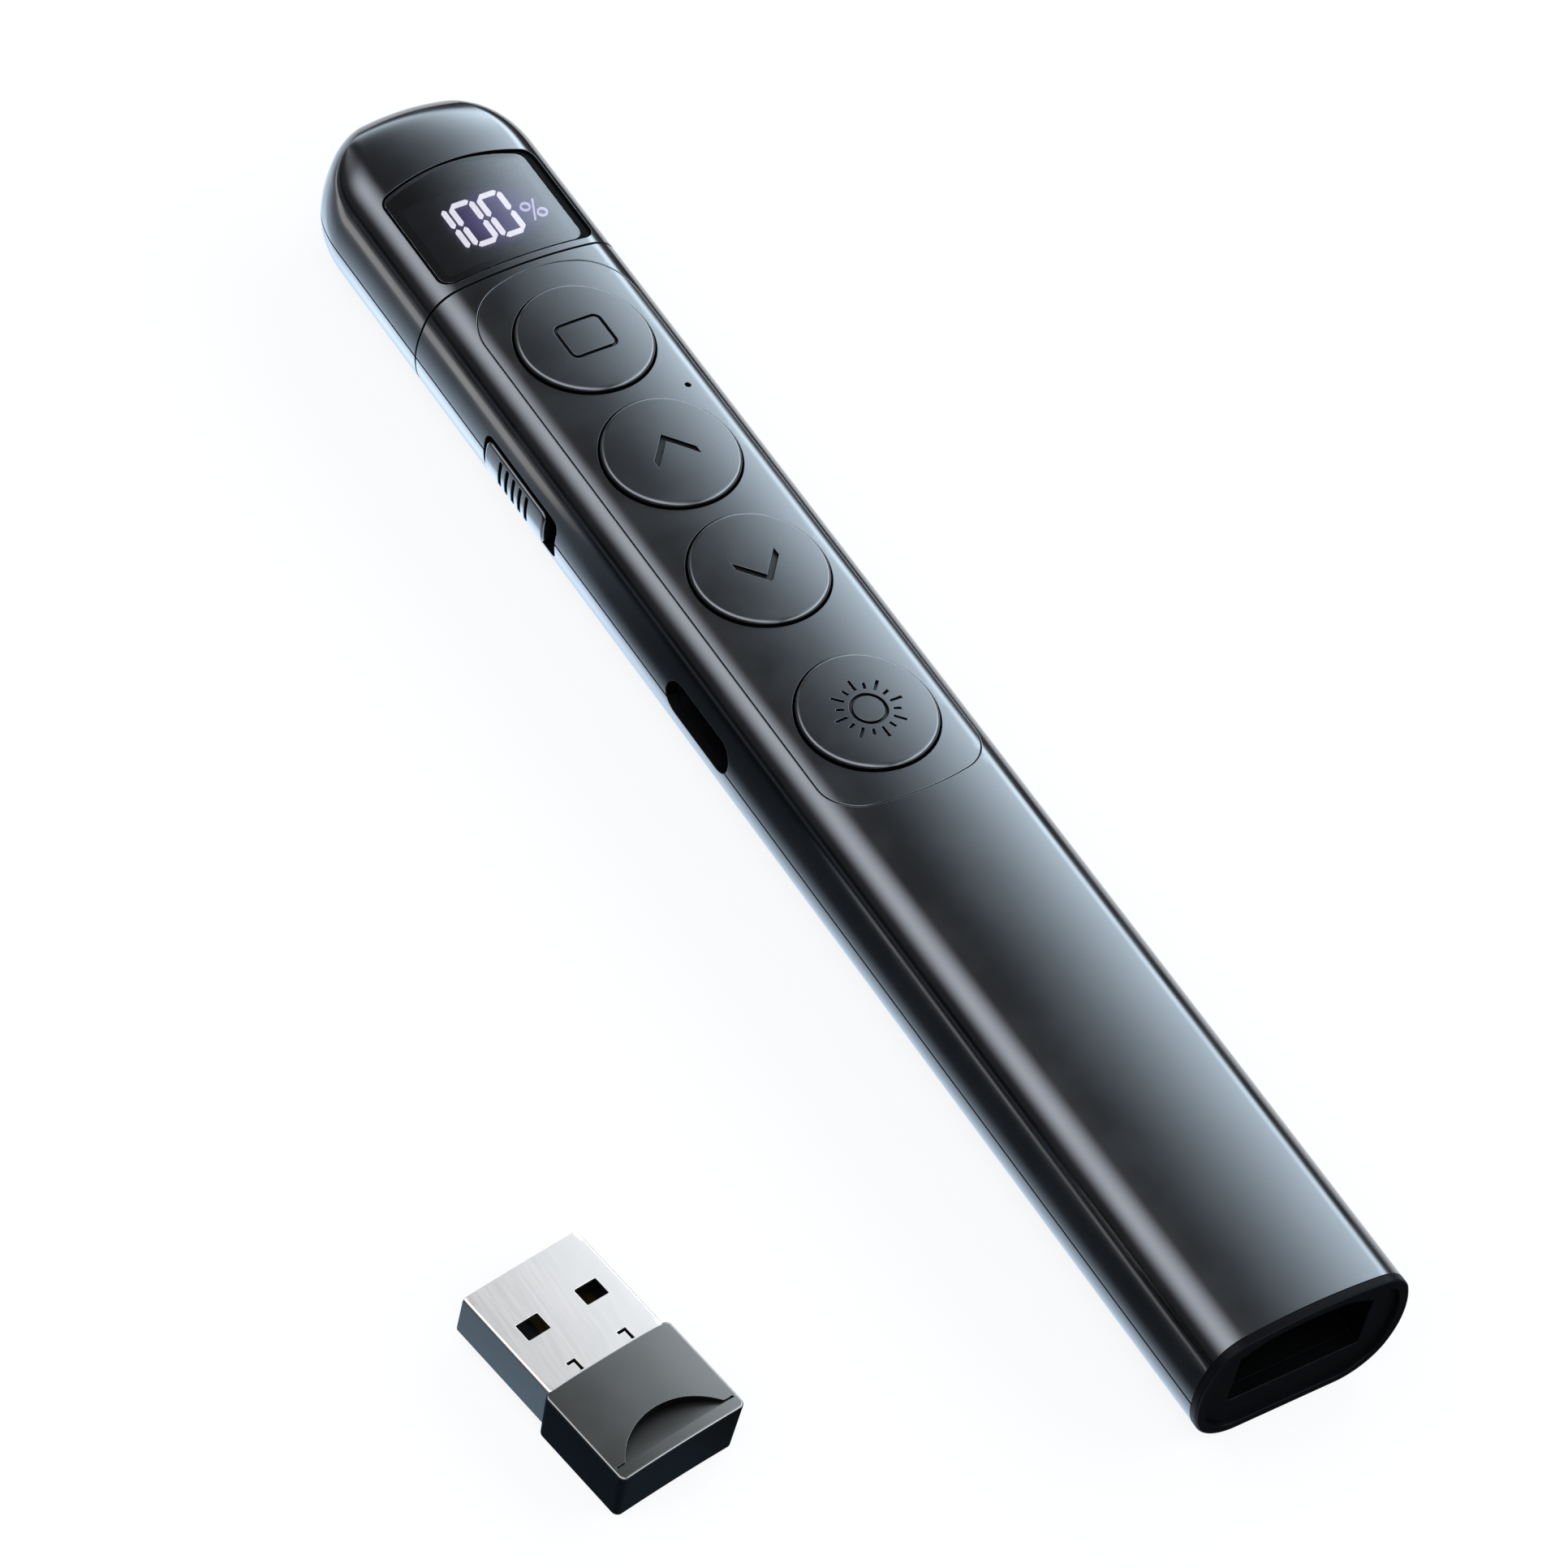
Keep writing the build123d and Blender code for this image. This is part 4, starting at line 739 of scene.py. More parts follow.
# The switch's knob, its slot and the socket's hole, as y and z
KNOB_RIM = 1.1 * MM
KNOB_SHORT = 0.3 * MM
KNOB_LOW, KNOB_HIGH = (corner[1:] for corner in span("power_switch_knob"))
KNOB_MIDDLE = (KNOB_LOW + KNOB_HIGH) / 2
KNOB_LENGTH, KNOB_HEIGHT = KNOB_HIGH - KNOB_LOW - 2 * KNOB_RIM
SLOT_LENGTH = 12.0 * MM
SLOT_SIDE = 0.35 * MM
SLOT_FRONT = KNOB_HIGH[0] - KNOB_RIM + 0.2 * MM  # at rest the knob is at the slot's forward end
KNOB_LOOP = dense(rounded_box(KNOB_MIDDLE - (KNOB_SHORT / 2, 0), KNOB_LENGTH - KNOB_SHORT, KNOB_HEIGHT,
                              0.7 * MM), FINE_STEP)
SLOT_LOOP = dense(rounded_box((SLOT_FRONT - SLOT_LENGTH / 2, KNOB_MIDDLE[1]), SLOT_LENGTH,
                              KNOB_HEIGHT + 2 * SLOT_SIDE, 0.9 * MM))
SOCKET_LOOP = dense(rounded_box(sum(span("usb_c_tongue"))[1:] / 2, 9.9 * MM, 3.6 * MM, 1.75 * MM, 16))
NOTCH_CLEAR = 0.15 * MM  # between a notch and the next point of the joint beside it


def beyond(loop, level, side):
    """The stretch of a loop of y and z above a height, with side 1, or below it, with side -1. Its two ends
    lie on the height, and it runs forwards."""
    over = side * (loop[:, 1] - level) > NOTCH_CLEAR
    first = np.flatnonzero(over & ~np.roll(over, 1))[0]
    chain = np.roll(loop, 1 - first, 0)[: over.sum() + 2]
    for end, near in ((0, 1), (-1, -2)):
        share = (level - chain[end, 1]) / (chain[near, 1] - chain[end, 1])
        chain[end] += share * (chain[near] - chain[end])
    return chain if chain[0, 0] < chain[-1, 0] else chain[::-1]


def shell_outline(upper, start, end, notches):
    """Outline of an upper or lower shell between two stations. Its long edges lie on the level joint, and the
    left one steps round the notches, loops of y and z."""
    height, side, girth = (SEAM_HIGH_Z, 1, 0.0) if upper else (SEAM_LOW_Z, -1, 2 * HALF_GIRTH)
    stations = np.linspace(start, end, max(2, int((end - start) / OUTLINE_STEP)))
    runs = np.array([np.interp(-height, -skin(RUN_TABLE, station)[:, 2], RUN_TABLE) for station in stations])
    right, left = pairs(runs, stations), pairs(girth - runs, stations)
    for notch in notches:
        y, z = beyond(notch, height, side).T
        before, after = left[:, 1] < y.min() - NOTCH_CLEAR, left[:, 1] > y.max() + NOTCH_CLEAR
        left = np.vstack([left[before], pairs(girth - run_at_height(z), y), left[after]])
    return dense(np.vstack([right, left[::-1]] if upper else [right[::-1], left]), OUTLINE_STEP)


def build_shells(part, lacquer, start, end, hole, notches=(), **settings):
    """Upper shell of the body or the nose, with a hole, and lower shell."""
    for level, holes in (("upper", [hole]), ("lower", [])):
        outline = shell_outline(level == "upper", start, end, notches)
        shell = plate(skin, outline, holes, joint=True, **settings)
        piece(f"{part}_{level}_skin", [shell], lacquer, "housing", "graphite_shell", f"{part}_{level}_shell")


class BuildShells(bpy.types.Operator):
    """Builds the body's shells, which share the switch's slot and the socket's hole, and the nose's shells"""

    bl_idname = "clicker.shells"
    bl_label = "Body and nose shells"

    def execute(self, context):
        lacquer = graphite_lacquer()
        build_shells("body", lacquer, SHELL_TAIL_Y, BODY_FRONT_Y, top_plan(PANEL_PLAN, PANEL_GAP),
                     [SLOT_LOOP, SOCKET_LOOP])
        build_shells("nose", lacquer, NOSE_BACK_Y, TIP_END, top_plan(SEAL_PLAN, SEAL_GAP), edge=WINDOW_EDGE,
                     pitch=NOSE_PITCH)
        return {"FINISHED"}


class BuildKeypad(bpy.types.Operator):
    """Builds the keypad's panel, with four round holes and the status light's pinhole"""

    bl_idname = "clicker.keypad"
    bl_label = "Keypad panel"

    def execute(self, context):
        holes = [circle((0, y), KEY_RADIUS + KEY_GAP) for y in KEY_YS]
        holes.append(circle(sum(span("status_light_pipe"))[:2] / 2, PINHOLE_RADIUS, 24))
        edge = sizes().panel_edge
        panel = plate(skin, top_plan(PANEL_PLAN), [on_top(hole) for hole in holes], thickness=0.8 * MM,
                      soft=edge, edge=edge)
        lacquer = graphite_lacquer("panel_lacquer", 0.24)
        piece("keypad_plate", [panel], lacquer, "housing", "keypad_graphite", "keypad_panel")
        return {"FINISHED"}


# Keys
ICON_LINE = 0.32 * MM
WINDOW_ICON = np.array(mm(4.8, 4.1, 0.8))  # width, height and corner
CHEVRON_LINE = 0.55 * MM
CHEVRON_HALF = 2.15 * MM
CHEVRON_RISE = 1.2 * MM
CHEVRON_AHEAD = 0.7 * MM  # from the key's middle towards the tip
SUN_RADIUS = 1.7 * MM
RAY_START = 2.15 * MM
RAY_ENDS = mm(3.33, 2.83)
RAY_COUNT = 16
RAY_LINE = 0.26 * MM


def window_icon():
    """Rounded rectangle drawn with one line."""
    inner = WINDOW_ICON - np.array((2, 2, 1)) * ICON_LINE
    return [rounded_box((0, 0), *size) for size in (WINDOW_ICON, inner)]


def chevron_icon(direction):
    """Open arrowhead that points to the nose (1) or to the tail (-1)."""
    step = CHEVRON_LINE * hypot(CHEVRON_HALF, 2 * CHEVRON_RISE) / CHEVRON_HALF
    upper = [(-CHEVRON_HALF, -CHEVRON_RISE), (0, CHEVRON_RISE), (CHEVRON_HALF, -CHEVRON_RISE)]
    corners = upper + [(across, ahead - step) for across, ahead in reversed(upper)]
    return [(np.array(corners) + (0, CHEVRON_AHEAD)) * (1, direction)]


def sun_icon():
    """Ring with rays of two lengths, which take turns."""
    loops = [circle((0, 0), SUN_RADIUS, 64), circle((0, 0), SUN_RADIUS - ICON_LINE, 56)]
    for index in range(RAY_COUNT):
        turn = QUARTER + 4 * QUARTER * index / RAY_COUNT
        start, end, half = RAY_START, RAY_ENDS[index % 2], RAY_LINE / 2
        ray = np.array([(start, -half), (end, -half), (end, half), (start, half)])
        loops.append(ray @ np.array([(cos(turn), sin(turn)), (-sin(turn), cos(turn))]))
    return loops


class BuildKeys(bpy.types.Operator):
    """Builds four round caps that follow the arch of the body, each with its icon sunk in"""

    bl_idname = "clicker.keys"
    bl_label = "Keys"

    def execute(self, context):
        lacquer = graphite_lacquer("key_lacquer", 0.26)
        icons = (window_icon(), chevron_icon(1), chevron_icon(-1), sun_icon())
        for key, y, icon in zip(KEYS, KEY_YS, icons):
            outline = on_top(circle((0, y), KEY_RADIUS, CAP_COUNT))
            pockets = [on_top(dense(loop + (0, y), FINE_STEP)) for loop in icon]
            # The icons' floors get the plate's painted shade.
            cap = plate(skin, outline, pockets=pockets, thickness=2.4 * MM, sunk=-sizes().cap_proud,
                        soft=sizes().cap_bevel, edge=0.04 * MM, floor=sizes().icon_depth, pitch=KEY_PITCH)
            piece(key + "_button_cap", [cap], lacquer, key + "_key", "key_graphite", key + "_button")
        return {"FINISHED"}


# Display
LEDGE_INSET = 0.1 * MM
LEDGE_WIDTH = 1.0 * MM


def crown(run, station):
    """Arch of the top carried on past the shoulders, a cylinder along the body, as run and station."""
    run, station = matched(run, station)
    turn = run / CROWN_RADIUS
    drop = CROWN_RADIUS * (1 - np.cos(turn))
    return np.stack([CROWN_RADIUS * np.sin(turn), station, TOP_Z - drop], -1)


class BuildDisplay(bpy.types.Operator):
    """Builds the smoked window in its black seal and ledge, over the lit strokes and their glow"""

    bl_idname = "clicker.display"
    bl_label = "Display"

    def execute(self, context):
        loop = top_plan(LENS_PLAN)
        loop[:, 0] = CROWN_RADIUS * np.arcsin(skin(*loop.T)[:, 0] / CROWN_RADIUS)
        lens = plate(crown, loop, thickness=0.7 * MM, sunk=0.1 * MM, soft=WINDOW_EDGE,
                     pitch=LENS_PITCH)
        piece("smoked_lens", [lens], smoked_glass(), "housing", "smoked_window", "display_window")
        seal = plate(skin, top_plan(SEAL_PLAN), [top_plan(LENS_PLAN, SEAL_GAP)], thickness=1.4 * MM,
                     sunk=0.3 * MM, soft=0.02 * MM, edge=0.01 * MM, pitch=LENS_PITCH)
        ledge = plate(skin, top_plan(SEAL_PLAN, -LEDGE_INSET), [top_plan(LENS_PLAN, -LEDGE_WIDTH)],
                      thickness=0.8 * MM, sunk=0.85 * MM, pitch=LENS_PITCH)
        rubber = black_plastic("gasket_black", 0.5, 0.2e-6, 0.02)
        piece("black_seal", [seal, ledge], rubber, "housing", "black_trim", "window_seal")
        dress(lit_strokes(), "display_segments")
        dress(glowing_guide(), "display_light_guide")
        return {"FINISHED"}


# Switch
GROOVE_PITCH = 1.1 * MM
GROOVE_WIDTH = 0.5 * MM
GROOVE_CORNER = 0.15 * MM
GROOVE_MARGIN = 0.45 * MM


class BuildPowerSwitch(bpy.types.Operator):
    """Builds the knob of the slide switch, with grooves across it, after the body shells"""

    bl_idname = "clicker.power_switch"
    bl_label = "Power switch"

    def execute(self, context):
        count = sizes().groove_count
        grooves = []
        for index in range(count):
            middle = KNOB_MIDDLE + ((index - (count - 1) / 2) * GROOVE_PITCH, 0)
            groove = rounded_box(middle, GROOVE_WIDTH, KNOB_HEIGHT - 2 * GROOVE_MARGIN, GROOVE_CORNER)
            grooves.append(on_left(dense(groove, FINE_STEP)))
        # Painted shade in the grooves, nearly black.
        knob = plate(skin, on_left(KNOB_LOOP), pockets=grooves, thickness=1.8 * MM, sunk=-0.25 * MM,
                     soft=0.28 * MM, edge=0.06 * MM, floor=sizes().groove_depth, pitch=KEY_PITCH,
                     dark=0.95)
        lacquer = bpy.data.materials["graphite_lacquer"]
        piece("ribbed_knob", [knob], lacquer, "power_slider", "knob_black", "power_switch_knob")
        return {"FINISHED"}


# Tail cap
CAP_RIM = 1.0 * MM
CAP_RECESS = 0.5 * MM
CAP_STEP = 0.6 * MM  # how far its hidden flange reaches in behind the shells
CAP_GAP = 0.02 * MM
DOCK_POCKET = mm(6.65, 4.2, 10.3)  # half width, low and high z
PLUG_POCKET = mm(6.15, 5.4, 10.2)
SCOOP_HALF = 6.3 * MM
SCOOP_RISE = 1.75 * MM
SCOOP_DEPTH = 1.7 * MM
DOCK_STEP_Y = TAIL_Y + 10.05 * MM
DOCK_END_Y = DOCK_STEP_Y + 10.95 * MM
DOCK_EDGE = 0.1 * MM
CAP_PITCH = mm(1, 1)


def section_loop(inset):
    """Section of the body drawn in by inset, as x and z."""
    runs = np.linspace(-HALF_GIRTH, HALF_GIRTH, FACE_COUNT)[:-1]
    points, _ = lay(skin, pairs(runs, 0.0), inset)
    return points[:, [0, 2]][::-1]


def pocket_corners(half, low, high):
    """Corners of a rectangle about x 0, as x and z."""
    return np.array([(-half, low), (half, low), (half, high), (-half, high)])


def facing_tail(y, *args, **settings):
    """Plate across the body that faces the tail, with x and z as its values."""
    return plate(plane_of((0, y, 0), (1, 0, 0), UP), *args, pitch=CAP_PITCH, **settings)


def cap_rim():
    """Flange and rim of the cap: rows at a station and a depth, whose normals lean to the tail by an angle.
    Two quarter turns of t round the rim, by 1 - sin(t) and 1 - cos(t) of a radius."""
    soft, inner = sizes().rim_softness, sizes().rim_softness / 2
    quarter = np.linspace(0, QUARTER, RIM_ROWS)
    floor_y = TAIL_Y + CAP_RECESS
    rows = [(SHELL_TAIL_Y - CAP_GAP, CAP_STEP, 0.0), (SHELL_TAIL_Y - CAP_GAP, 0.0, 0.0)]
    rows += [(TAIL_Y + soft * (1 - sin(t)), soft * (1 - cos(t)), t) for t in quarter]
    rows += [(TAIL_Y + inner * (1 - cos(t)), CAP_RIM - inner * (1 - sin(t)), QUARTER + t)
             for t in quarter]
    rows += [(floor_y, CAP_RIM, pi), (floor_y + WALL, CAP_RIM, pi)]
    runs = np.linspace(-HALF_GIRTH, HALF_GIRTH, RIM_COUNT)[:-1]
    rim = Shell()
    rim.strip([lay(skin, pairs(runs, y), depth, (0, -1), t) for y, depth, t in rows])
    return rim


class BuildTailCap(bpy.types.Operator):
    """Builds the black cap: its rim, a recessed plate with a finger scoop, and the receiver's pocket"""

    bl_idname = "clicker.tail_cap"
    bl_label = "Tail cap"

    def execute(self, context):
        radius, lean = bulge(SCOOP_HALF, SCOOP_RISE)
        low = DOCK_POCKET[-1] + SCOOP_RISE - radius
        scoop = arc((0, low), radius, QUARTER - lean, QUARTER + lean, 30)
        pocket = pocket_corners(*DOCK_POCKET)
        mouth = dense(np.vstack([pocket[:3], scoop, pocket[3:]]))
        recess_y, scoop_y = TAIL_Y + CAP_RECESS, TAIL_Y + SCOOP_DEPTH
        face = facing_tail(recess_y, section_loop(CAP_RIM), [mouth], thickness=scoop_y - recess_y,
                           edge=DOCK_EDGE)
        wall = section_loop(WALL + DOCK_EDGE)
        plug = dense(pocket_corners(*PLUG_POCKET), CAP_PITCH[0])
        dock = facing_tail(scoop_y, wall, [dense(pocket, CAP_PITCH[0])], thickness=DOCK_STEP_Y - scoop_y,
                           edge=DOCK_EDGE)
        step = facing_tail(DOCK_STEP_Y, wall, [plug], thickness=DOCK_END_Y - DOCK_STEP_Y)
        back = facing_tail(DOCK_END_Y, wall, thickness=0.6 * MM)
        # Painted shade: the dock's inside is dark all over.
        for patch in dock.patches + step.patches + back.patches:
            patch[:, Shell.SHADE] = 1.0
        shells = [cap_rim(), face, dock, step, back]
        plastic = black_plastic("cap_plastic", 0.36, gloss=0.06)
        piece("tail_cap_skin", shells, plastic, "housing", "cap_black", "tail_cap")
        return {"FINISHED"}


# Receiver
RECEIVER_PLACE = np.array(mm(-50.7, -47.9, 0))
RECEIVER_YAW = radians(8.3)
RIGHT = np.array((cos(RECEIVER_YAW), sin(RECEIVER_YAW), 0.0))
AHEAD = np.array((-sin(RECEIVER_YAW), cos(RECEIVER_YAW), 0.0))
GRIP_WIDTH, GRIP_LENGTH, GRIP_HEIGHT = mm(13, 9.9, 5.8)
GRIP_CORNER = 0.6 * MM
GRIP_ARCH = 100 * MM
GRIP_FALL = (GRIP_WIDTH / 2) ** 2 / (2 * GRIP_ARCH)
GRIP_COLOUR = (0.2, 0.185, 0.17)
PLUG_WIDTH, PLUG_LENGTH, PLUG_HEIGHT = mm(12, 10.8, 4.5)
PLUG_ROOT = 0.4 * MM
PLUG_CORNER = 0.28 * MM
PLUG_CROWN = radians(1.6)  # lean of its top at the corners
PLUG_TOP = GRIP_HEIGHT - 0.1 * MM
# The plug's holes, by the run round it and the distance ahead of the grip
LATCH_PLACE = np.array(mm(3.05, 5.5))
LATCH_SIZE = mm(2.25, 1.75, 0.12)  # width, length and corner
TAB_RUN = 2.65 * MM
TAB_WIDTH = 0.9 * MM
TAB_REACH = 1.3 * MM
TAB_ROOT = 0.1 * MM
TAB_LINE = 0.28 * MM
# The grip's nail scoop
SCOOP_CREASE = -GRIP_LENGTH + 1.3 * MM
SCOOP_REACH = 2.6 * MM
SCOOP_RADIUS = 6.4 * MM
SCOOP_FALL = 1.1 * MM
SCOOP_STEP = 0.3 * MM
SCOOP_POWER = 0.6
CREASE_HALF = 6.1 * MM
CREASE_LINE = 0.2 * MM
CREASE_DEPTH = 0.24 * MM


def plug_section():
    """Rounded rectangle of the plug's sleeve, from the middle of its top, which is crowned."""
    flat = PLUG_WIDTH / 2 - PLUG_CORNER
    shoulder = QUARTER - PLUG_CROWN
    side = PLUG_HEIGHT - 2 * PLUG_CORNER - flat * PLUG_CROWN / 2
    return section_of(PLUG_TOP, [(flat, PLUG_CROWN), (PLUG_CORNER * shoulder, shoulder), (side, 0.0),
                                 (PLUG_CORNER * QUARTER, QUARTER), (flat, 0.0)])


sleeve_section, SLEEVE_HALF = plug_section()


def sleeve(run, ahead):
    """Outside of the plug at an arc length round it and a distance ahead of the grip."""
    run, ahead = matched(run, ahead)
    x, z = sleeve_section(run)
    return RECEIVER_PLACE + x[..., None] * RIGHT + ahead[..., None] * AHEAD + z[..., None] * UP


def grip_top(across, ahead):
    """Top of the grip: it falls from the middle by across squared over twice the arch's radius."""
    across, ahead = matched(across, ahead)
    flat = plane_of(RECEIVER_PLACE + GRIP_HEIGHT * UP, RIGHT, AHEAD)
    return flat(across, ahead) - (across**2 / (2 * GRIP_ARCH))[..., None] * UP


def scoop_floor(spots):
    """Depth of the scoop's floor, which falls from the crease line to its arc as a power of the distance."""
    rest = np.clip((spots[:, 1] - SCOOP_CREASE) / SCOOP_REACH, 0.0, 1.0)
    return CREASE_DEPTH + (SCOOP_FALL - CREASE_DEPTH) * rest**SCOOP_POWER


def scoop_loop():
    """Arc of the scoop and, behind it, the crease line across the grip."""
    half = sqrt(SCOOP_RADIUS**2 - (SCOOP_RADIUS - SCOOP_REACH) ** 2)
    lean = asin(half / SCOOP_RADIUS)
    centre = (0, SCOOP_CREASE + SCOOP_REACH - SCOOP_RADIUS)
    half, ahead, behind = CREASE_HALF, SCOOP_CREASE, SCOOP_CREASE - CREASE_LINE
    crease = [(-half, ahead), (-half, behind), (half, behind), (half, ahead)]
    return dense(np.vstack([arc(centre, SCOOP_RADIUS, QUARTER - lean, QUARTER + lean, ARC_COUNT), crease]),
                 SCOOP_STEP)


class BuildReceiver(bpy.types.Operator):
    """Builds the plug's sheet-steel sleeve, which closes underneath, and the grip with its nail scoop"""

    bl_idname = "clicker.receiver"
    bl_label = "Receiver"

    def execute(self, context):
        end = SLEEVE_HALF - SMALL
        outline = np.array([(-end, -PLUG_ROOT), (end, -PLUG_ROOT), (end, PLUG_LENGTH), (-end, PLUG_LENGTH)])
        holes = []
        for side in (-1, 1):
            holes.append(dense(rounded_box(LATCH_PLACE * (side, 1), *LATCH_SIZE)))
            left, right = side * TAB_RUN - TAB_WIDTH / 2, side * TAB_RUN + TAB_WIDTH / 2
            low, inner = TAB_REACH - TAB_LINE, right - TAB_LINE
            holes.append(np.array([(left, low), (inner, low), (inner, TAB_ROOT), (right, TAB_ROOT),
                                   (right, TAB_REACH), (left, TAB_REACH)]))
        shell = plate(sleeve, dense(outline, FINE_STEP), holes, thickness=0.3 * MM, soft=0.06 * MM,
                      edge=0.05 * MM, pitch=mm(0.2, 1.0))
        piece("plug_sleeve", [shell], brushed_steel(), "receiver", "plug_steel", "receiver_plug_shell")
        outline = rounded_box((0, -GRIP_LENGTH / 2), GRIP_WIDTH, GRIP_LENGTH, GRIP_CORNER)
        # The scoop's floor carries painted shade, black by its arc where it is deepest.
        grip = plate(grip_top, dense(outline, GRIP_CORNER), pockets=[scoop_loop()],
                     thickness=GRIP_HEIGHT - GRIP_FALL, soft=0.22 * MM, edge=0.02 * MM, floor=scoop_floor,
                     pitch=(FINE_STEP, FINE_STEP), dark=1.0)
        lacquer = graphite_lacquer("grip_lacquer", colour=GRIP_COLOUR)
        piece("receiver_grip_skin", [grip], lacquer, "receiver", "receiver_grey", "receiver_grip")
        return {"FINISHED"}


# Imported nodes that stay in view: finish, colour, roughness, other settings and nodes
METAL = {"Metallic": 1.0}
CLEAR = {"Transmission_Weight": 1.0}
INNER_FINISHES = (
    ("solder_mask", (0.01, 0.05, 0.02), 0.35, {"mottle": 0.2, "mottle_scale": 900.0},
     "main_board display_board receiver_board"),
    ("zinc_steel", (0.55, 0.55, 0.56), 0.32, METAL, "board_screws tact_switch_covers slide_switch_body"),
    ("socket_steel", (0.02, 0.02, 0.02), 0.45, METAL, "usb_c_shell"),
    ("white_plastic", (0.7, 0.7, 0.68), 0.4, {},
     "window_plunger page_up_plunger page_down_plunger laser_plunger"),
    ("amber_ribbon", (0.4, 0.16, 0.02), 0.3, {}, "display_flex"),
    ("clear_pipe", (0.8, 0.8, 0.8), 0.15, CLEAR, "status_light_pipe"),
    ("cell_foil", (0.6, 0.6, 0.62), 0.35, {"mottle": 0.1, "grain": 4e-6, "grain_scale": 700.0, **METAL},
     "battery_cell"),
    ("black_foam", (0.02, 0.02, 0.02), 0.9, {"grain": 8e-6, "grain_scale": 3000.0}, "battery_tape"),
    ("lead_jacket", (0.35, 0.02, 0.02), 0.4, {}, "battery_leads laser_leads"),
    ("turned_brass", (0.6, 0.42, 0.18), 0.28, METAL, "laser_barrel"),
    ("dark_metal", (0.05, 0.05, 0.055), 0.25, METAL, "laser_bezel"),
    ("clear_lens", (0.9, 0.9, 0.92), 0.05, CLEAR, "laser_lens"),
    ("nickel", (0.6, 0.58, 0.54), 0.25, METAL, "dock_magnet"),
    ("gilt_contact", (0.16, 0.11, 0.045), 0.4, METAL, "receiver_contacts"),
)


class FinishInside(bpy.types.Operator):
    """Finishes the boards, cell, switches, laser and contacts"""

    bl_idname = "clicker.inside"
    bl_label = "Inner pieces"

    def execute(self, context):
        for name, colour, roughness, settings, nodes in INNER_FINISHES:
            dress(finish(name, colour, roughness, **settings), *nodes.split())
        dress(black_plastic("chip_resin", 0.45), "board_chips", "tact_switch_bodies", "switch_lever",
              "usb_c_tongue", "receiver_insulator")
        return {"FINISHED"}


# Studio
CAMERA_PLACE = Vector((-0.281757, -0.295359, 0.480073))
CAMERA_AIM = Vector((-0.00679972, -0.00503845, 0.00685))
CAMERA_ROLL = radians(14.403)
FLOOR_HALF = 1.5
FLOOR_LIGHT = 0.85  # share of the floor's own light where it is seen
FLOOR_CHANGE_X = mm(-10, 10)  # between its two tints in a mirror
FLOOR_TINT = (0.8, 0.79, 0.78, 1.0)
FLOOR_LEFT_TINT = (0.82, 0.97, 1.14, 1.0)
FLOOR_RIGHT_TINT = (0.73, 0.75, 0.78, 1.0)
WHITE = (1.0, 1.0, 1.0, 1.0)
CARD_Z = 0.05 * MM
CARD_LIGHT = 0.03
CARD_TINT = (0.88, 0.97, 1.07, 1.0)
CARD_LEFT_X = -8.6 * MM
CARD_RIGHT_X = 62 * MM
TAIL_CARD_LOW = (-8.5 * MM, -0.3)
RIGHT_CARD_Y = mm(0, 80)
RIGHT_CARD_LIGHT = (0.55, 0.03)

# Stretches of the left card's light: along y, across x, and as a pair of values beside the body and the nose
NOSE_Y = mm(12, 45)
NEAR_X_FAR = mm(-17, -20)
NEAR_X_CLOSE = mm(-10, -12)
NEAR_LIGHT = 0.9
DEEP_LIGHT = (0.06, 0.28)
FAR_X = mm(-34, -26)
FAR_LIGHT = 0.06
SLIT_X = mm(-31, -26)
SLIT_HALF = mm(2.2, 4.2)
SLIT_LIGHT = (1.0, 1.6)
SLIT_NOSE_Y = mm(30, 46)
SLIT_TAIL_Y = mm(-14, 2)
RECEIVER_X_FAR = mm(-80, -55)
RECEIVER_X_CLOSE = mm(-50, -36)
RECEIVER_LIGHT = 0.17
FOOT_X_FAR = mm(-12.7, -11.8)
FOOT_X_CLOSE = mm(-10.8, -8.6)
FOOT_Y_RISE = mm(-14, 40)
FOOT_Y_FALL = mm(58, 84)
FOOT_LIGHT = (1.1, 0.1)  # beside the body and ahead of it
BLUE_Y = mm(-34, -20)
BLUE_TINT = (0.5, 0.85, 1.2, 1.0)
PALE_BLUE_TINT = (0.79, 0.97, 1.17, 1.0)


def stage_sheet(name, low, high, z):
    """Flat level sheet between two corners."""
    (left, near), (right, far) = low, high
    mesh = bpy.data.meshes.new(name)
    mesh.from_pydata([(left, near, z), (right, near, z), (right, far, z), (left, far, z)], [], [(0, 1, 2, 3)])
    thing = linked(name, mesh)
    return thing


def floor_finish():
    """Pale floor: white for camera, mirror and glass, with the object's soft shadow on it."""
    nodes = Nodes("pale_floor")
    path = nodes.add("LightPath").outputs
    mirrored = nodes.math("MAXIMUM", path["Is Glossy Ray"], path["Is Transmission Ray"])
    seen = nodes.math("MAXIMUM", path["Is Camera Ray"], mirrored)
    side = nodes.blend(nodes.ramp(nodes.axes()[0], *FLOOR_CHANGE_X), FLOOR_LEFT_TINT, FLOOR_RIGHT_TINT)
    light = nodes.add("Emission", nodes.blend(mirrored, WHITE, side), 1.0)
    matt = nodes.add("BsdfDiffuse", FLOOR_TINT)
    return nodes.close(nodes.add("MixShader", nodes.times(seen, FLOOR_LIGHT), matt, light))


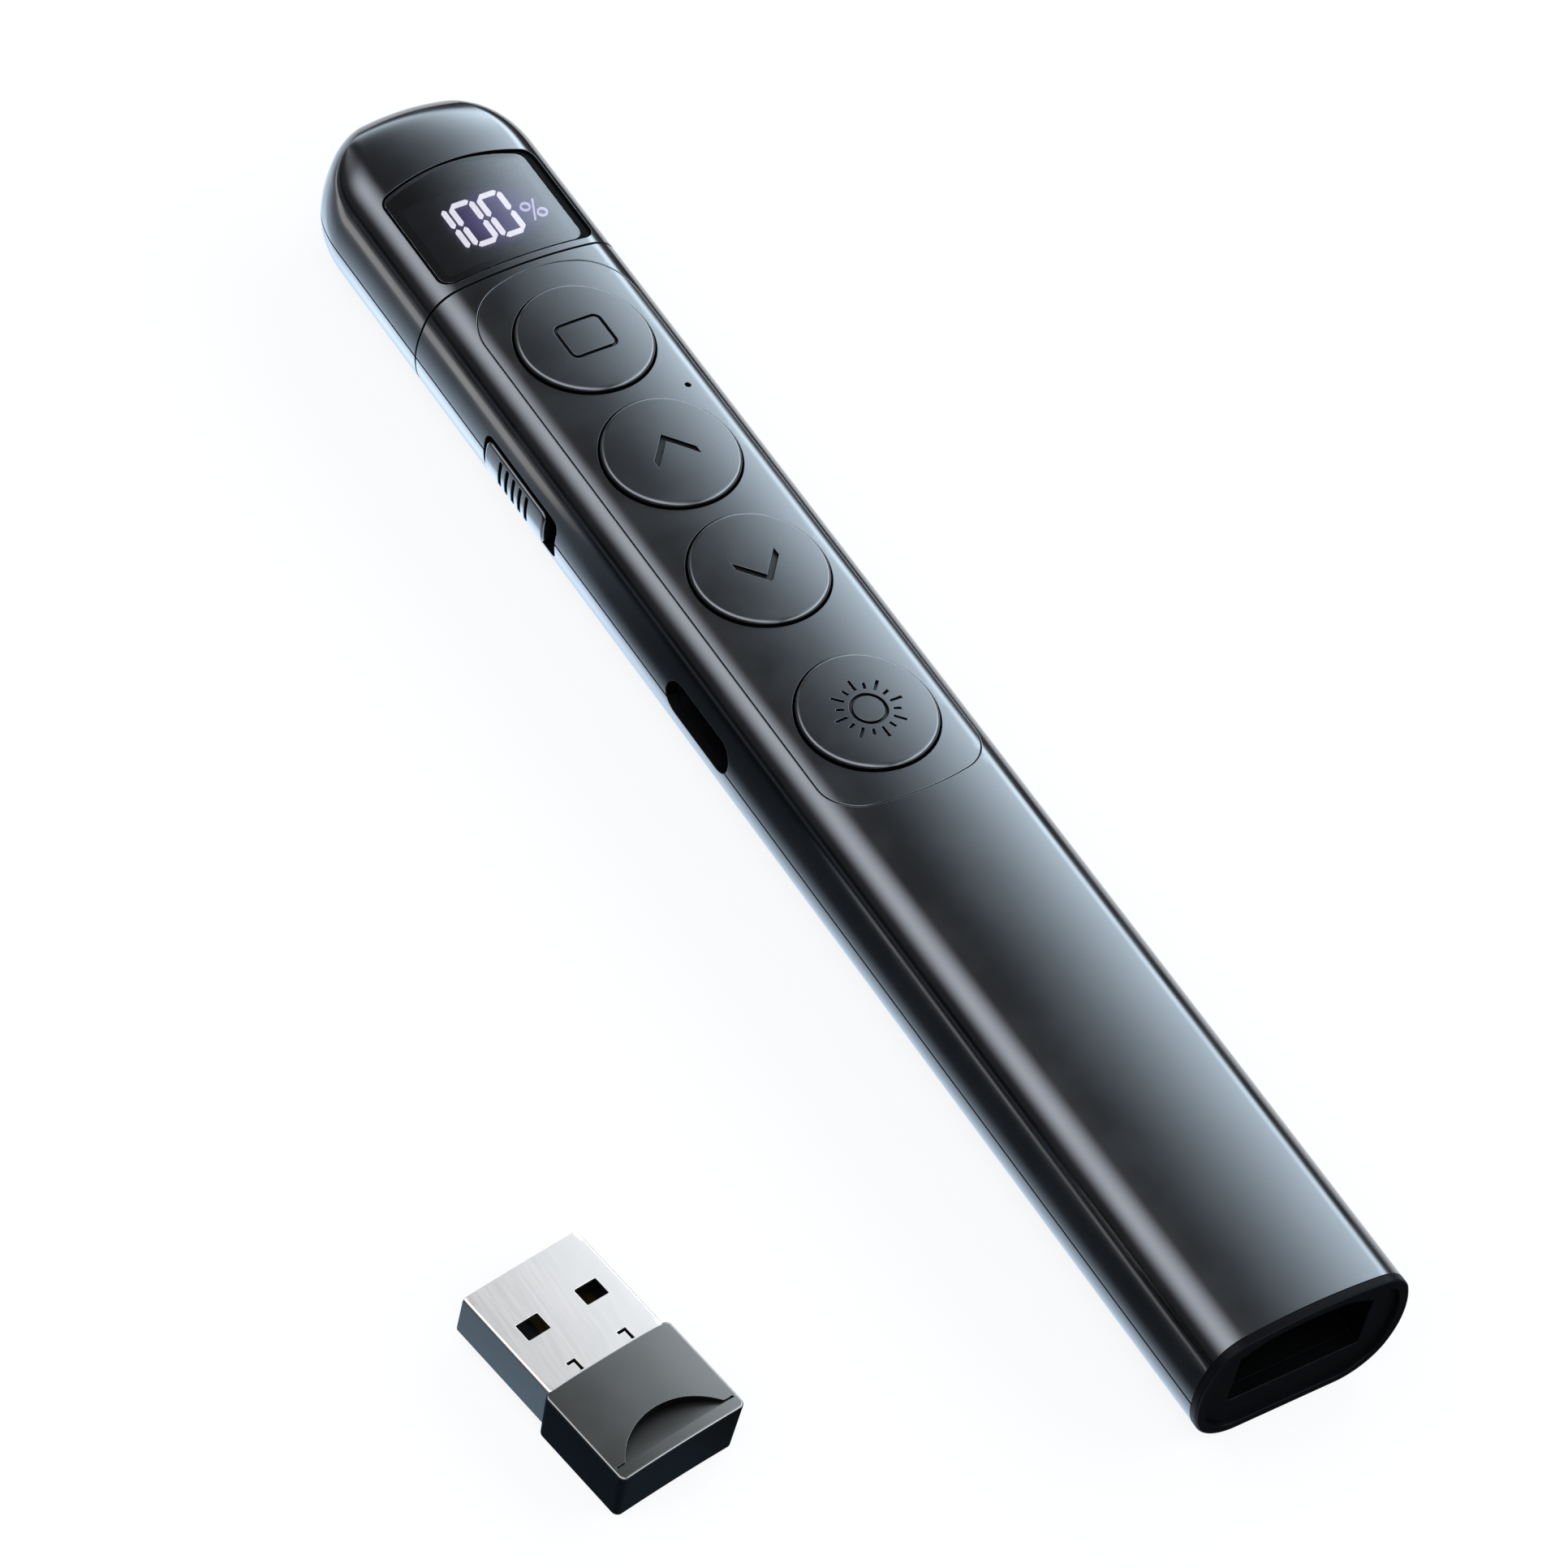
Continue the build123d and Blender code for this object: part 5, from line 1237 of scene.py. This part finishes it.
def dark_card(name, low, high):
    """Dark card on the floor that only mirror rays meet: it keeps the sides that face it dark. Returns its
    nodes and its light, to set the strength of."""
    card = stage_sheet(name, low, high, CARD_Z)
    for kind in ("camera", "diffuse", "transmission", "shadow", "volume_scatter"):
        setattr(card, "visible_" + kind, False)
    nodes = Nodes(name)
    light = nodes.add("Emission", CARD_TINT, CARD_LIGHT)
    card.data.materials.append(nodes.close(light))
    return nodes, light


def left_card():
    """Card to the left. Its light fades away from the clicker, later beside the nose. A pale slit, nearer
    beside the nose and broken off in the middle, gives the thin streak on the clicker's side, a far stretch
    lights the receiver's side, and a line along the near edge the clicker's foot."""
    nodes, light = dark_card("left_card", (-FLOOR_HALF, -FLOOR_HALF), (CARD_LEFT_X, FLOOR_HALF))
    x, y, _ = nodes.axes()
    nose = nodes.ramp(y, *NOSE_Y)
    far, close, deep, line, half, gain = (
        nodes.ramp(nose, 0.0, 1.0, *pair)
        for pair in (NEAR_X_FAR, NEAR_X_CLOSE, DEEP_LIGHT, SLIT_X, SLIT_HALF, SLIT_LIGHT))
    rest = nodes.math("SUBTRACT", NEAR_LIGHT, deep)
    near = nodes.math("MULTIPLY_ADD", nodes.ramp(x, far, close), rest, deep)
    away = nodes.math("ABSOLUTE", nodes.math("SUBTRACT", x, line))
    ends = nodes.math("MAXIMUM", nodes.ramp(y, *SLIT_NOSE_Y), nodes.ramp(y, *SLIT_TAIL_Y, 1.0, 0.0))
    slit = nodes.times(nodes.ramp(nodes.math("DIVIDE", away, half), 0.5, 1.0, 1.0, 0.0), gain, ends)
    side = nodes.math("MAXIMUM", nodes.times(near, nodes.ramp(x, *FAR_X, FAR_LIGHT, 1.0)), slit)
    receiver = nodes.times(nodes.ramp(x, *RECEIVER_X_FAR),
                           nodes.ramp(x, *RECEIVER_X_CLOSE, RECEIVER_LIGHT, 0.0))
    foot = nodes.times(nodes.ramp(x, *FOOT_X_FAR), nodes.ramp(x, *FOOT_X_CLOSE, 1.0, 0.0),
                       nodes.ramp(y, *FOOT_Y_RISE, 0.0, FOOT_LIGHT[0]),
                       nodes.ramp(y, *FOOT_Y_FALL, 1.0, FOOT_LIGHT[1]))
    nodes.set(light, "Strength", nodes.math("ADD", nodes.math("ADD", side, receiver), foot))
    clear = nodes.math("MAXIMUM", nodes.ramp(x, *RECEIVER_X_CLOSE), nodes.ramp(y, *BLUE_Y))
    nodes.set(light, "Color", nodes.blend(slit, nodes.blend(clear, BLUE_TINT, PALE_BLUE_TINT), WHITE))


# The strip lights, by the angle in degrees about the Y axis and by the share of a direction that points ahead
ROOM_TINT = (0.97, 1.0, 1.05, 1.0)
FILL_TINT = (0.93, 1.0, 1.1, 1.0)
KEY_TINT = (0.83, 1.0, 1.13, 1.0)
STEEP_AHEAD = (0.4, 0.48)
STEEPNESS = (1.7, 2.5)
FILL_RISE = (-76, -36)
FILL_ENDS = (20.0, 10.0)
FILL_AHEAD = (0.56, 0.8)
FILL_LEAST = 0.2  # share of its light that is left ahead
KEY_RISE = (12, 60)
KEY_FALL = (62, 77)
KEY_GAIN = (0.9, 1.14)
KEY_AHEAD = (0.6, 0.88)
KEY_LEAST = 0.4


def light_world():
    """Two long strip lights over the clicker, along it. Their radiance depends on the angle about the Y axis
    from straight up. The left one rises and falls smoothly, and the right one rises as a power."""
    studio = bpy.context.scene.clicker_studio
    nodes = Nodes("studio", world=True)
    across, ahead, up = nodes.add("SeparateXYZ", nodes.add("TexCoord").outputs["Generated"]).outputs[:]
    turn = nodes.times(nodes.math("ARCTAN2", across, up), degrees(1))
    steep = nodes.ramp(ahead, *STEEP_AHEAD, *STEEPNESS)
    fill_end = nodes.ramp(steep, *STEEPNESS, *FILL_ENDS)
    fill = nodes.times(nodes.ramp(turn, *FILL_RISE), nodes.ramp(turn, FILL_RISE[1], fill_end, 1.0, 0.0),
                       nodes.ramp(ahead, *FILL_AHEAD, 1.0, FILL_LEAST), studio.fill_strength)
    rise = nodes.math("POWER", nodes.ramp(turn, *KEY_RISE, kind="LINEAR"), steep)
    key = nodes.times(rise, nodes.ramp(turn, *KEY_FALL, 1.0, 0.0), nodes.ramp(steep, *STEEPNESS, *KEY_GAIN),
                      nodes.ramp(ahead, *KEY_AHEAD, 1.0, KEY_LEAST), studio.key_strength)
    room, left, right = (nodes.add("Background", tint, strength) for tint, strength in (
        (ROOM_TINT, studio.room_strength), (FILL_TINT, fill), (KEY_TINT, key)))
    total = nodes.add("AddShader", nodes.add("AddShader", room, left), right)
    seen = nodes.add("LightPath").outputs["Is Camera Ray"]
    white = nodes.add("Background", WHITE, 1.0)
    bpy.context.scene.world = nodes.close(nodes.add("MixShader", seen, total, white), "World")


class BuildStudio(bpy.types.Operator):
    """Builds the pale floor, dark cards, strip lights and the camera"""

    bl_idname = "clicker.studio"
    bl_label = "Studio"

    def execute(self, context):
        scene = context.scene
        floor = stage_sheet("floor", (-FLOOR_HALF, -FLOOR_HALF), (FLOOR_HALF, FLOOR_HALF), 0.0)
        floor.data.materials.append(floor_finish())
        left_card()
        nodes, light = dark_card("right_card", (CARD_RIGHT_X, -FLOOR_HALF), (FLOOR_HALF, FLOOR_HALF))
        nodes.set(light, "Strength", nodes.ramp(nodes.axes()[1], *RIGHT_CARD_Y, *RIGHT_CARD_LIGHT))
        dark_card("tail_card", TAIL_CARD_LOW, (CARD_RIGHT_X, TAIL_Y))
        light_world()
        camera = linked("camera", bpy.data.cameras.new("camera"))
        camera.data.sensor_width = 36.0
        camera.data.lens = scene.clicker_studio.lens
        camera.data.clip_start = 0.01
        camera.data.clip_end = 10.0
        turn = (CAMERA_AIM - CAMERA_PLACE).to_track_quat("-Z", "Y").to_matrix().to_4x4()
        roll = Matrix.Rotation(CAMERA_ROLL, 4, "Z")
        camera.matrix_world = Matrix.Translation(CAMERA_PLACE) @ turn @ roll
        scene.camera = camera
        scene.view_settings.view_transform = "Standard"
        return {"FINISHED"}


OPERATORS = (BuildShells, BuildKeypad, BuildKeys, BuildDisplay, BuildPowerSwitch, BuildTailCap, BuildReceiver,
             FinishInside, BuildStudio)
GROUPS = {"clicker_sizes": ClickerSizes, "clicker_colours": ClickerColours, "clicker_studio": ClickerStudio}


class ClickerPanel(bpy.types.Panel):
    """Lists the sizes, colours and operators"""

    bl_idname = "VIEW3D_PT_clicker"
    bl_label = "Presentation clicker"
    bl_space_type = "VIEW_3D"
    bl_region_type = "UI"
    bl_category = "Clicker"

    def draw(self, context):
        for name, group in GROUPS.items():
            box = self.layout.box()
            for label in group.__annotations__:
                box.prop(getattr(context.scene, name), label)
        for operator in OPERATORS:
            self.layout.operator(operator.bl_idname)


def register():
    """Registers the groups, operators and panel."""
    for kind in (*GROUPS.values(), *OPERATORS, ClickerPanel):
        bpy.utils.register_class(kind)
    for name, group in GROUPS.items():
        setattr(bpy.types.Scene, name, PointerProperty(type=group))


def unregister():
    """Takes them away again."""
    for name in GROUPS:
        delattr(bpy.types.Scene, name)
    for kind in (ClickerPanel, *OPERATORS, *GROUPS.values()):
        bpy.utils.unregister_class(kind)


def main():
    """Builds everything in order."""
    register()
    for operator in OPERATORS:
        group, name = operator.bl_idname.split(".")
        getattr(getattr(bpy.ops, group), name)()


if __name__ == "__main__":
    main()
